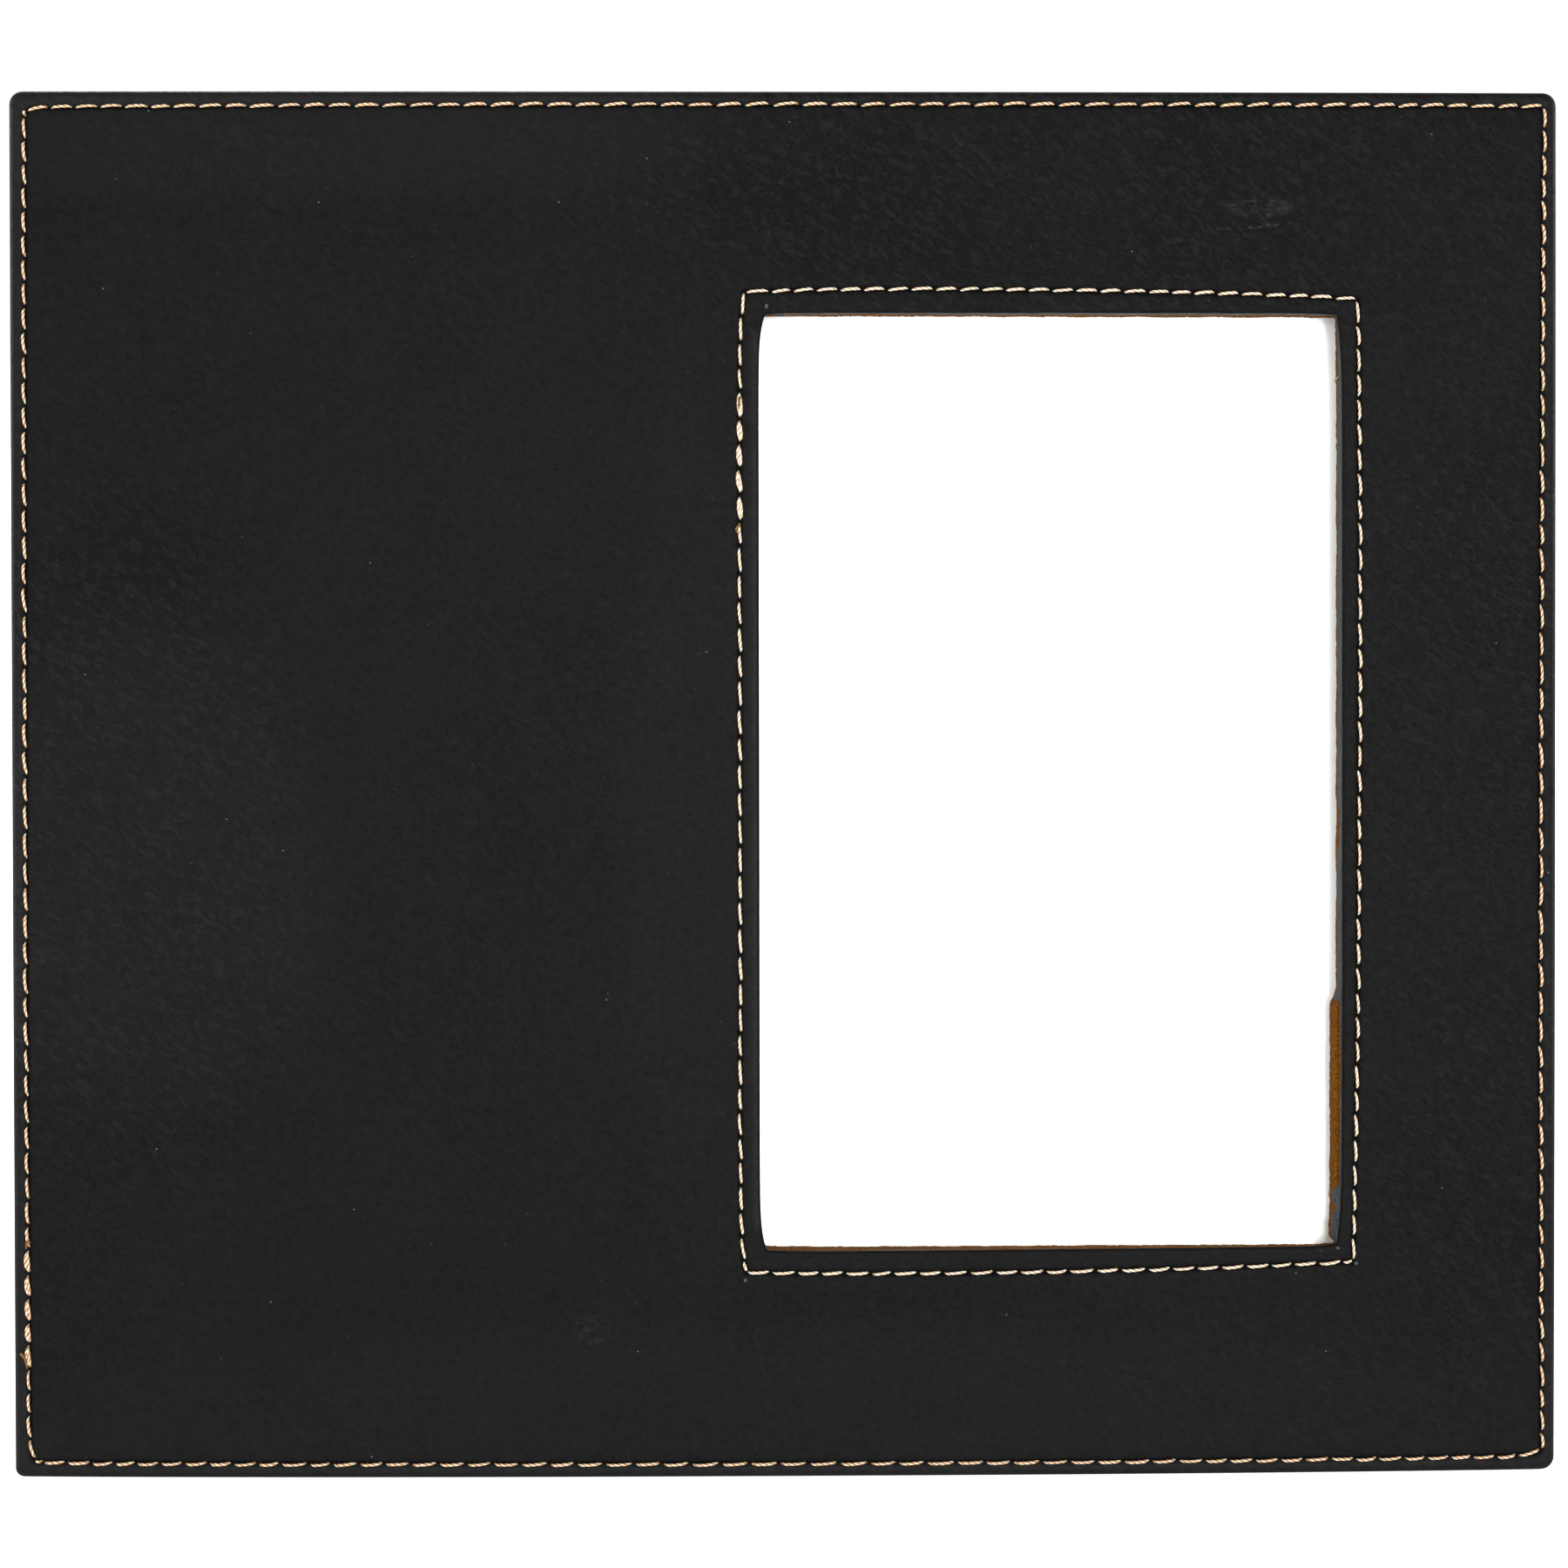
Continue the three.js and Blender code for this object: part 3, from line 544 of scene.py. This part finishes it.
class Signal:
    """A socket's value; sums, products and the like of it add Math nodes."""

    def __init__(self, paint, socket):
        self.paint = paint
        self.socket = socket

    def math(self, operation, *others):
        inputs = {0: self}
        inputs.update({place + 1: other for place, other in enumerate(others)})
        return self.paint.node("ShaderNodeMath", {"operation": operation}, inputs)

    def __add__(self, other):
        return self.math("ADD", other)

    def __sub__(self, other):
        return self.math("SUBTRACT", other)

    def __mul__(self, other):
        return self.math("MULTIPLY", other)

    def __rsub__(self, other):
        return self.paint.node("ShaderNodeMath", {"operation": "SUBTRACT"}, {0: other, 1: self})

    def step(self, low, high):
        """0 below low, 1 above high, smooth between."""
        settings = {"interpolation_type": "SMOOTHSTEP"}
        inputs = {"Value": self, "From Min": low, "From Max": high}
        return self.paint.node("ShaderNodeMapRange", settings, inputs)

    __radd__ = __add__
    __rmul__ = __mul__


class Paint:
    """One material, built node by node on a Principled shader."""

    def __init__(self, name):
        self.material = bpy.data.materials.new(name)
        self.material.use_nodes = True
        self.tree = self.material.node_tree
        self.shader = self.tree.nodes["Principled BSDF"]

    def node(self, kind, settings=None, inputs=None, output=0):
        made = self.tree.nodes.new(kind)
        for key, value in (settings or {}).items():
            setattr(made, key, value)
        for key, value in (inputs or {}).items():
            self.feed(made.inputs[key], value)
        return Signal(self, made.outputs[output])

    def feed(self, socket, value):
        if isinstance(value, Signal):
            self.tree.links.new(value.socket, socket)
        else:
            socket.default_value = value

    def set(self, **values):
        for key, value in values.items():
            self.feed(self.shader.inputs[key.replace("_", " ")], value)

    def panel_place(self):
        """Object coordinates turned into the panel's own millimetres."""
        place = self.node("ShaderNodeTexCoord", output="Object")
        inputs = {"Vector": place, "Location": (0, PANEL_Y, PANEL_Z), "Rotation": (-LEAN, 0, 0),
                  "Scale": (0.001, 0.001, 0.001)}
        return self.node("ShaderNodeMapping", {"vector_type": "TEXTURE"}, inputs)

    def stretched(self, place, turn, scale):
        """Coordinates turned about the panel's normal and scaled, so that a pattern runs one way."""
        turned = self.node("ShaderNodeMapping", None, {"Vector": place, "Rotation": (0, turn, 0)})
        return self.node("ShaderNodeMapping", None, {"Vector": turned, "Scale": scale})

    def noise(self, place, scale, detail=3.0, roughness=0.5, distortion=0.0):
        inputs = {"Vector": place, "Scale": scale, "Detail": detail, "Roughness": roughness,
                  "Distortion": distortion}
        return self.node("ShaderNodeTexNoise", None, inputs, "Fac")

    def cells(self, place, scale, feature="DISTANCE_TO_EDGE", output="Distance"):
        inputs = {"Vector": place, "Scale": scale}
        return self.node("ShaderNodeTexVoronoi", {"feature": feature}, inputs, output)

    def mix(self, share, first, second):
        made = self.tree.nodes.new("ShaderNodeMix")
        made.data_type = "RGBA"
        self.feed(made.inputs[0], share)
        self.feed(made.inputs[6], first)
        self.feed(made.inputs[7], second)
        return Signal(self, made.outputs[2])

    def specks(self, x, z, scale, radius):
        """Round specks of a radius in millimetres, one to a square of 1 / scale on the panel."""
        flat = self.node("ShaderNodeCombineXYZ", None, {0: x, 1: z})
        settings = {"voronoi_dimensions": "2D"}
        away = self.node("ShaderNodeTexVoronoi", settings, {"Vector": flat, "Scale": scale})
        return 1 - away.step(0.5 * radius * scale, radius * scale)

    def axes(self, place):
        return [self.node("ShaderNodeSeparateXYZ", None, {"Vector": place}, axis) for axis in range(3)]

    def attribute(self, name):
        return self.node("ShaderNodeAttribute", {"attribute_name": name}, None, "Fac")

    def bump(self, height, distance):
        """Height in millimetres times the distance in metres, as a normal."""
        inputs = {"Height": height, "Strength": 1.0, "Distance": distance}
        return self.node("ShaderNodeBump", None, inputs)

    def spot(self, x, z, centre, radii):
        """1 inside an ellipse on the panel, fading to 0 at its rim."""
        across = (x - centre[0]) * (1 / radii[0])
        up = (z - centre[1]) * (1 / radii[1])
        return 1 - (across * across + up * up).step(0.25, 1.0)


def grey(value):
    return (value, value, value, 1.0)


def leatherette():
    """Black sheet with a fine pebbled grain, creases that run one way, scuffs and dust, a painted sheen in
    broad patches and painted shade on the creases. Its attributes give painted shade in the furrows and
    painted light on the edges, sides and back, and where its grey cloth backing shows, more of it on the
    right wall as painted light."""
    paint = Paint("black_leatherette")
    place = paint.panel_place()
    x, _, z = paint.axes(place)
    warp = paint.node("ShaderNodeTexNoise", None, {"Vector": place, "Scale": 0.35, "Detail": 2.0}, "Color")
    bend = paint.node("ShaderNodeVectorMath", {"operation": "SCALE"}, {0: warp, "Scale": 1.6})
    warped = paint.node("ShaderNodeVectorMath", {"operation": "ADD"}, {0: place, 1: bend})
    pebbles = paint.cells(paint.stretched(warped, -0.6, (0.6, 1.0, 1.3)), 0.95).step(0.0, 0.32)
    fine = paint.noise(place, 2.6, 4.0, 0.65)
    creases = paint.noise(paint.stretched(warped, -0.68, (0.42, 0.7, 1.0)), 1.25, 3.0, 0.6)
    crease_lines = 1 - (creases - 0.5).math("ABSOLUTE").step(0.0, 0.045)
    zones = paint.noise(place, 0.018, 1.0, 0.5)
    worn = paint.spot(x, z, (55, 194), (95, 34)) + paint.spot(x, z, (-100, 95), (34, 62))
    worn = worn + paint.spot(x, z, (104, 95), (26, 95)) * 0.7
    grain_zone = zones.step(0.35, 0.65) * 0.5 + worn
    height = pebbles * (0.005 + grain_zone * 0.01) + fine * 0.016
    height = height + creases * (0.03 + grain_zone * 0.06) - crease_lines * (0.004 + grain_zone * 0.012)
    lining = paint.attribute("lining")
    cloth = paint.noise(place, 5.0, 3.0, 0.7)
    height = height * (1 - lining) + cloth * lining * 0.12

    # The shade attribute: painted shade in furrows and at the flap's end, painted light on edges, sides and
    # back.
    shade = paint.attribute("shade")
    mottle = 0.8 + paint.noise(place, 0.06, 2.0, 0.6) * 0.4
    # Painted sheen: broad lighter patches on the left, left of the window, along the bottom and along the
    # top.
    painted_sheen = paint.spot(x, z, (-97, 92), (34, 46)) * 0.45 + paint.spot(x, z, (-14, 100), (14, 80)) * 0.2
    painted_sheen = painted_sheen + paint.spot(x, z, (0, 6), (150, 20)) * 0.25 + paint.spot(x, z, (-75, 203), (90, 14)) * 0.3
    blotches = paint.noise(place, 0.9, 3.0, 0.65)
    # Painted shade on the creases: lighter on their tops, darker along their lines.
    painted_crease_shade = (creases - 0.5) * (0.6 + grain_zone * 1.5) - crease_lines * (0.05 + grain_zone * 0.26)
    # Brightness of the black: random mottle and tone, painted sheen and painted crease shade, times the
    # painted light and shade of the attribute.
    level = (mottle + painted_sheen + (fine - 0.5) * 1.2 + (blotches - 0.5) * 1.1 + painted_crease_shade) * shade
    black = {0: (0.0047, 0.0047, 0.0048), "Scale": level}
    leather = paint.node("ShaderNodeVectorMath", {"operation": "SCALE"}, black)
    # The lining attribute: grey cloth backing, shown more on the window's right wall as painted light.
    backing = paint.mix(cloth.step(0.38, 0.66), (0.02, 0.026, 0.033, 1), (0.085, 0.09, 0.092, 1))
    colour = paint.mix(lining, leather, backing)

    scuff_lines = paint.noise(paint.stretched(place, 0.2, (0.6, 1, 1.3)), 0.62, 4.0, 0.78)
    scuff_zone = paint.spot(x, z + x * -0.09, (70.2, 181.7), (6.5, 0.55))
    scuff_zone = scuff_zone + paint.spot(x, z, (71.4, 190.6), (6, 1.9)) * 0.55
    scuff_zone = scuff_zone + paint.spot(x, z, (-29.4, 22.2), (3.2, 2.8)) * 0.35
    scuffs = scuff_lines.step(0.47, 0.66) * scuff_zone
    colour = paint.mix(scuffs * 0.5, colour, grey(0.075))
    nicks = paint.spot(x, z, (-2.9, 175.9), (0.35, 0.45)) + paint.spot(x, z, (83.2, 33.9), (0.35, 0.3))
    nicks = nicks + paint.spot(x, z, (-6.3, 29.4), (0.3, 0.35)) + paint.spot(x, z, (86.0, 31.6), (0.35, 0.3))
    colour = paint.mix(nicks * fine.step(0.4, 0.55) * 0.4, colour, grey(0.16))
    faint_dust = paint.specks(x, z, 0.12, 0.17) * blotches.step(0.5, 0.65)
    dust = paint.specks(x, z, 0.026, 0.14) * 0.3 + faint_dust * 0.07
    colour = paint.mix(dust, colour, (0.4, 0.38, 0.34, 1))
    paint.set(Base_Color=colour, Roughness=0.58 + pebbles * 0.1 + scuffs * 0.2)
    paint.set(Normal=paint.bump(height, 0.001), Specular_IOR_Level=0.06)
    return paint.material


def thread_paint(name, dark, light, spread):
    """Twisted thread: slanting plies across its own length and width, painted highlights on them and
    painted shade between them, and painted shade on the tube's sides away from its front.
    """
    paint = Paint(name)
    uv = paint.node("ShaderNodeTexCoord", output="UV")
    along, around, _ = paint.axes(uv)
    fuzz = paint.noise(paint.panel_place(), 4.0, 3.0, 0.7)
    ply = ((along * 0.95 + around * 2.0 + fuzz * 0.5) * (2 * math.pi)).math("SINE")
    # The plies' pale bands are painted highlights and their dark bands painted shade, broken up by random
    # fuzz.
    ply_light_and_shade = (ply * 0.4 + 0.56 + (fuzz - 0.5) * 1.1).step(0.1, spread)
    # Painted shade on the thread's sides and back, away from its front-facing top.
    painted_flank_shade = (around - 0.25).math("ABSOLUTE").step(0.1, 0.26)
    ply_light_and_shade = ply_light_and_shade * (1 - painted_flank_shade * 0.7)
    paint.set(Base_Color=paint.mix(ply_light_and_shade, dark, light), Roughness=0.65)
    paint.set(Normal=paint.bump(ply * 0.05 + fuzz * 0.06, 0.001), Specular_IOR_Level=0.3)
    return paint.material


def fibreboard():
    """Raw brown board: fibres along it, pale flecks and darker layers."""
    paint = Paint("brown_fibreboard")
    place = paint.panel_place()
    fibres = paint.noise(paint.stretched(place, 0, (3.0, 1.5, 3.0)), 1.3, 5.0, 0.75)
    layers = paint.noise(paint.stretched(place, 0, (0.3, 4.0, 0.3)), 0.8, 2.0, 0.5)
    flecks = paint.cells(place, 2.1, "F1").step(0.12, 0.3)
    colour = paint.mix(fibres.step(0.36, 0.66), (0.05, 0.014, 0.001, 1), (0.3, 0.11, 0.006, 1))
    colour = paint.mix(layers.step(0.4, 0.7) * 0.35, colour, (0.12, 0.05, 0.01, 1))
    colour = paint.mix((1 - flecks) * 0.25, colour, (0.36, 0.17, 0.04, 1))
    paint.set(Base_Color=colour, Roughness=0.9)
    paint.set(Normal=paint.bump(fibres * 0.25, 0.001), Specular_IOR_Level=0.05)
    return paint.material


def card(name, colour, contrast=0.06):
    """Plain card with a faint mottle about its colour."""
    paint = Paint(name)
    place = paint.panel_place()
    fibres = paint.noise(place, 1.5, 5.0, 0.7)
    dark = tuple(channel * (1 - contrast) for channel in colour) + (1.0,)
    light = tuple(channel * (1 + contrast) for channel in colour) + (1.0,)
    paint.set(Base_Color=paint.mix(fibres.step(0.3, 0.7), dark, light), Roughness=0.85)
    paint.set(Normal=paint.bump(fibres * 0.02, 0.001), Specular_IOR_Level=0.3)
    return paint.material


def white_insert():
    """White paper with a painted shadow of the window's right wall along its right edge, a soft grey patch
    low on the right, a speck.
    """
    paint = Paint("white_insert")
    place = paint.panel_place()
    x, _, z = paint.axes(place)
    fibres = paint.noise(place, 0.8, 4.0, 0.6)
    # Painted shadow of the window's right wall, greying the paper along its right edge.
    edge = (x + (z - 103) * 0.004 + (fibres - 0.5) * 0.8).step(82.0, 82.9)
    patch = x.step(80.6, 81.4) * (1 - z.step(37.0, 38.0))
    speck = paint.spot(x, z, (1.75, 149.6), (0.28, 0.22))
    shadow_patch_and_speck = (edge * 0.45 + patch * 0.55 + speck).math("MINIMUM", 1.0)
    colour = paint.mix(shadow_patch_and_speck, (0.93, 0.93, 0.93, 1), (0.6, 0.55, 0.5, 1))
    paint.set(Base_Color=colour, Roughness=0.8, Specular_IOR_Level=0.2)
    return paint.material


def clear_glass():
    """Clear pane that lets the light through to the insert instead of shading it."""
    paint = Paint("clear_glass")
    paint.set(Base_Color=(0.97, 0.99, 0.985, 1), Roughness=0.02, IOR=1.45, Transmission_Weight=1.0)
    output = paint.tree.nodes["Material Output"]
    shadow_ray = paint.node("ShaderNodeLightPath", output="Is Shadow Ray")
    clear = paint.node("ShaderNodeBsdfTransparent")
    mixed = paint.node("ShaderNodeMixShader", None, {0: shadow_ray, 2: clear})
    paint.tree.links.new(paint.shader.outputs[0], mixed.socket.node.inputs[1])
    paint.tree.links.new(mixed.socket, output.inputs["Surface"])
    return paint.material


def black_paper():
    """The grained black paper on the back board and the strut, rubbed grey in places."""
    paint = Paint("black_backing_paper")
    place = paint.panel_place()
    grain = paint.cells(place, 1.6).step(0.0, 0.35)
    rub = paint.noise(place, 0.05, 6.0, 0.65).step(0.45, 0.75)
    fine = paint.noise(place, 3.0, 3.0, 0.6)
    worn_share = rub * 0.5 + (fine - 0.5) * 0.5
    colour = paint.mix(worn_share, (0.009, 0.009, 0.0095, 1), (0.02, 0.0195, 0.0195, 1))
    paint.set(Base_Color=colour, Roughness=0.62 + rub * 0.12)
    paint.set(Normal=paint.bump(grain * 0.04 + fine * 0.02, 0.001), Specular_IOR_Level=0.35)
    return paint.material


def dull_brass():
    """Pressed brass, brushed one way and dulled in patches."""
    paint = Paint("dull_brass")
    place = paint.panel_place()
    brushed = paint.noise(paint.stretched(place, 0.3, (0.6, 1.0, 9.0)), 1.0, 4.0, 0.6)
    tarnish = paint.noise(place, 0.4, 3.0, 0.6).step(0.5, 0.8)
    colour = paint.mix(tarnish * 0.6, (0.66, 0.48, 0.22, 1), (0.4, 0.27, 0.12, 1))
    paint.set(Base_Color=colour, Metallic=1.0, Roughness=0.26 + tarnish * 0.25 + brushed * 0.12)
    paint.set(Normal=paint.bump(brushed * 0.01 + tarnish * 0.01, 0.001))
    return paint.material


def board_wall():
    """The bare edge of the board inside the window: a ring a little behind the leatherette, rough
    with seeded noise, that comes forward where the wall is bare."""
    edge = board_line()
    window_edge = window_outline()
    flap = flap_ends(window_edge, np.random.default_rng(21))
    outward = board_outline(outset=1.0) - board_outline()
    random = np.random.default_rng(41)
    depths = np.array([0.8, 1.3, 1.9, 2.5, 3.1, 3.7, 4.3, 4.75, 5.0])
    rows = []
    for depth in depths:
        rough = 0.05 * random.normal(0, 1, len(edge))
        rough += 0.05 * waves(edge[:, 0] * 5, edge[:, 1] * 5 + depth * 7, 43)
        covered = window_edge + way_to_board(depth) * (edge - window_edge) + 0.35 * outward
        bare = edge + (0.05 + rough.clip(-0.08, 0.1))[:, None] * outward
        outline = np.where((depth > flap + 0.1)[:, None], bare, covered)
        rows.append(np.stack([outline[:, 0], np.full(len(edge), depth), outline[:, 1]], axis=-1))
    for depth in (5.0, 0.8):
        outline = edge + 0.7 * outward
        rows.append(np.stack([outline[:, 0], np.full(len(edge), depth), outline[:, 1]], axis=-1))
    points = np.stack(rows)
    return make_piece("board_wall", stand(points), grid_faces(len(points), len(edge), close_rows=True))


def thread_tail(name, path, radius=0.24, rings=14, sides=6):
    """A short loose end: a tapered tube along a smooth curve through a few points."""
    path = np.asarray(path, dtype=float)
    share = np.linspace(0, 1, rings)
    known = np.linspace(0, 1, len(path))
    centre = np.stack([np.interp(share, known, path[:, axis]) for axis in range(3)], axis=-1)
    centre[1:-1] = (centre[:-2] + 2 * centre[1:-1] + centre[2:]) / 4
    heading = np.gradient(centre, axis=0)
    heading /= np.linalg.norm(heading, axis=1)[:, None]
    side = np.cross(heading, (0, 1, 0))
    side /= np.linalg.norm(side, axis=1)[:, None]
    lift = np.cross(side, heading)
    angle = np.linspace(0, 2 * math.pi, sides, endpoint=False)
    taper = radius * (1 - 0.5 * share)[:, None, None]
    ring = np.cos(angle)[None, :, None] * side[:, None] + np.sin(angle)[None, :, None] * lift[:, None]
    points = centre[:, None] + taper * ring
    uv = np.stack(np.meshgrid(share * 2, angle / (2 * math.pi), indexing="ij"), axis=-1)
    tail = make_piece(name, stand(points), grid_faces(rings, sides), uv)
    close_ends(tail, 1, rings, sides)
    return tail


def dress(piece, material):
    """Gives a piece its material and its slot, and fixes it to the frame's body."""
    piece.data.materials.clear()
    piece.data.materials.append(material)
    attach(piece, "root")


leather = leatherette()
tan = thread_paint("tan_thread", (0.36, 0.15, 0.035, 1), (0.88, 0.74, 0.55, 1), 0.95)
cream = thread_paint("cream_thread", (0.46, 0.26, 0.1, 1), (0.93, 0.86, 0.74, 1), 0.85)
brown_end = thread_paint("brown_thread_end", (0.16, 0.07, 0.02, 1), (0.45, 0.24, 0.08, 1), 1.2)
board = fibreboard()
brass = dull_brass()
paper = black_paper()

cover = leather_cover()
dress(cover, leather)
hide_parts("front_cover")

outer_from = 1 + sum(OUTER_STITCHES[:3]) + OUTER_BEFORE_DOUBLED
outer_double = range(outer_from, outer_from + DOUBLED_STITCHES)
outer_thread = sew("outer_thread", outer_holes, outer_double, 51, 1.6)
dress(outer_thread, tan)
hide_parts("outer_stitching")

window_from = 1 + sum(WINDOW_STITCHES[:3]) + WINDOW_BEFORE_DOUBLED
window_double = range(window_from, window_from + DOUBLED_STITCHES)
window_thread = sew("window_thread", window_holes, window_double, 52, 1.9)
dress(window_thread, cream)
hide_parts("window_stitching")

wall = board_wall()
dress(wall, board)

tails = {
    "window_tail_upper": [(-6.9, -0.2, 162.3), (-7.0, -0.35, 161.4), (-7.1, -0.2, 160.5)],
    "window_tail_lower": [(-6.9, -0.3, 143.2), (-7.5, -0.45, 142.4), (-7.1, -0.2, 141.6)],
    "outer_tail_upper": [(-113.6, -0.3, 35.5), (-114.1, -0.45, 35.7), (-114.2, -0.3, 34.6)],
    "outer_tail_lower": [(-115.1, -0.3, 18.9), (-114.4, -0.5, 18.2), (-114.1, -0.3, 16.6)],
}
for name, path in tails.items():
    dress(thread_tail(name, path), brown_end)
fibres = {
    "loose_fibre_lower": [(83.1, 4.3, 43.2), (83.05, 4.4, 41.6), (83.6, 3.2, 40.2)],
    "loose_fibre_upper": [(83.5, 3.9, 165.3), (83.6, 3.4, 165.4), (83.8, 2.8, 165.8)],
}
for name, path in fibres.items():
    dress(thread_tail(name, path, 0.16), cream)

finishes = {"core_board": board, "rear_rim": board, "filler_board": card("grey_card", (0.36, 0.31, 0.24)),
            "glass_pane": clear_glass(), "photo_insert": white_insert(), "back_panel": paper,
            "easel_strut": paper}
for node_name, node in frame["nodes"].items():
    if node_name in ("front_cover", "outer_stitching", "window_stitching"):
        continue
    node.data.materials.clear()
    node.data.materials.append(finishes.get(node_name, brass))


def white_stage():
    """White floor that keeps its shadow: plain diffuse, plus a little glow for the camera alone."""
    paint = Paint("white_floor")
    paint.set(Base_Color=grey(0.86), Roughness=0.9, Specular_IOR_Level=0.1)
    camera_ray = paint.node("ShaderNodeLightPath", output="Is Camera Ray")
    glow = paint.node("ShaderNodeEmission", None, {"Color": grey(1.0), "Strength": camera_ray * 0.75})
    both = paint.node("ShaderNodeAddShader", None, {1: glow})
    paint.tree.links.new(paint.shader.outputs[0], both.socket.node.inputs[0])
    paint.tree.links.new(both.socket, paint.tree.nodes["Material Output"].inputs["Surface"])
    return paint.material


FLOOR_HALF = 12.0
FLOOR_DROP = 0.0002
floor_corners = FLOOR_HALF * np.array([(-1, -1), (1, -1), (1, 1), (-1, 1)])
floor_points = np.column_stack([floor_corners, np.full(4, -FLOOR_DROP)])
floor = make_piece("floor", floor_points, np.array([(0, 1, 2, 3)]), smooth=False)
floor.data.materials.append(white_stage())

# Camera: square on to the leaning panel, a little to its left and above its middle
CAMERA_DISTANCE = 405.8
CAMERA_X = -5.2
CAMERA_UP = 4.5
CAMERA_YAW = math.radians(0.685)
CAMERA_PITCH = math.radians(-0.624)
CAMERA_ROLL = math.radians(-0.096)
CAMERA_VIEW = math.radians(32.4)


def aim_camera():
    """Camera axes from yaw, pitch and roll in the panel's own directions, then leaned with it."""
    yaw_c, yaw_s = math.cos(CAMERA_YAW), math.sin(CAMERA_YAW)
    pitch_c, pitch_s = math.cos(CAMERA_PITCH), math.sin(CAMERA_PITCH)
    roll_c, roll_s = math.cos(CAMERA_ROLL), math.sin(CAMERA_ROLL)
    forward = np.array([yaw_s * pitch_c, yaw_c * pitch_c, pitch_s])
    level_right = np.array([yaw_c, -yaw_s, 0.0])
    level_up = np.cross(level_right, forward)
    right = roll_c * level_right + roll_s * level_up
    up = roll_c * level_up - roll_s * level_right
    origin = stand(np.zeros(3))
    axes = [(stand(axis) - origin) * 1000 for axis in (right, up, -forward)]
    place = stand(np.array([CAMERA_X, -CAMERA_DISTANCE, HEIGHT / 2 + CAMERA_UP]))
    data = bpy.data.cameras.new("camera")
    data.angle = CAMERA_VIEW
    data.clip_start = 0.01
    camera = bpy.data.objects.new("camera", data)
    matrix = np.eye(4)
    matrix[:3, :3] = np.stack(axes, axis=1)
    matrix[:3, 3] = place
    camera.matrix_world = Matrix(matrix.tolist())
    bpy.context.scene.collection.objects.link(camera)
    bpy.context.scene.camera = camera


def lamp(name, place, target, size, power):
    """A round area light in metres and watts, turned towards its target."""
    data = bpy.data.lights.new(name, "AREA")
    data.shape = "DISK"
    data.size = size
    data.energy = power
    light = bpy.data.objects.new(name, data)
    light.location = place
    direction = np.array(target) - np.array(place)
    light.rotation_euler = Vector(direction).to_track_quat("-Z", "Y").to_euler()
    bpy.context.scene.collection.objects.link(light)


aim_camera()
middle = tuple(stand(np.array([0, 0, HEIGHT / 2])))
lamp("key", (0.3, -1.05, 0.42), middle, 0.5, 11)
lamp("fill", (-0.6, -1.0, 0.4), middle, 0.9, 7)
lamp("back", (-0.35, 1.15, 0.95), middle, 0.6, 16)
lamp("side_left", (-1.1, 0.3, 0.3), middle, 0.6, 12)
lamp("side_right", (1.1, 0.3, 0.3), middle, 0.6, 12)

world = bpy.data.worlds.new("studio")
world.use_nodes = True
bpy.context.scene.world = world
background = world.node_tree.nodes["Background"]
background.inputs["Color"].default_value = grey(1.0)
ray = world.node_tree.nodes.new("ShaderNodeLightPath")
strength = world.node_tree.nodes.new("ShaderNodeMapRange")
strength.inputs["To Min"].default_value = 0.36
strength.inputs["To Max"].default_value = 1.0
world.node_tree.links.new(ray.outputs["Is Camera Ray"], strength.inputs["Value"])
world.node_tree.links.new(strength.outputs[0], background.inputs["Strength"])
bpy.context.scene.view_settings.view_transform = "Standard"
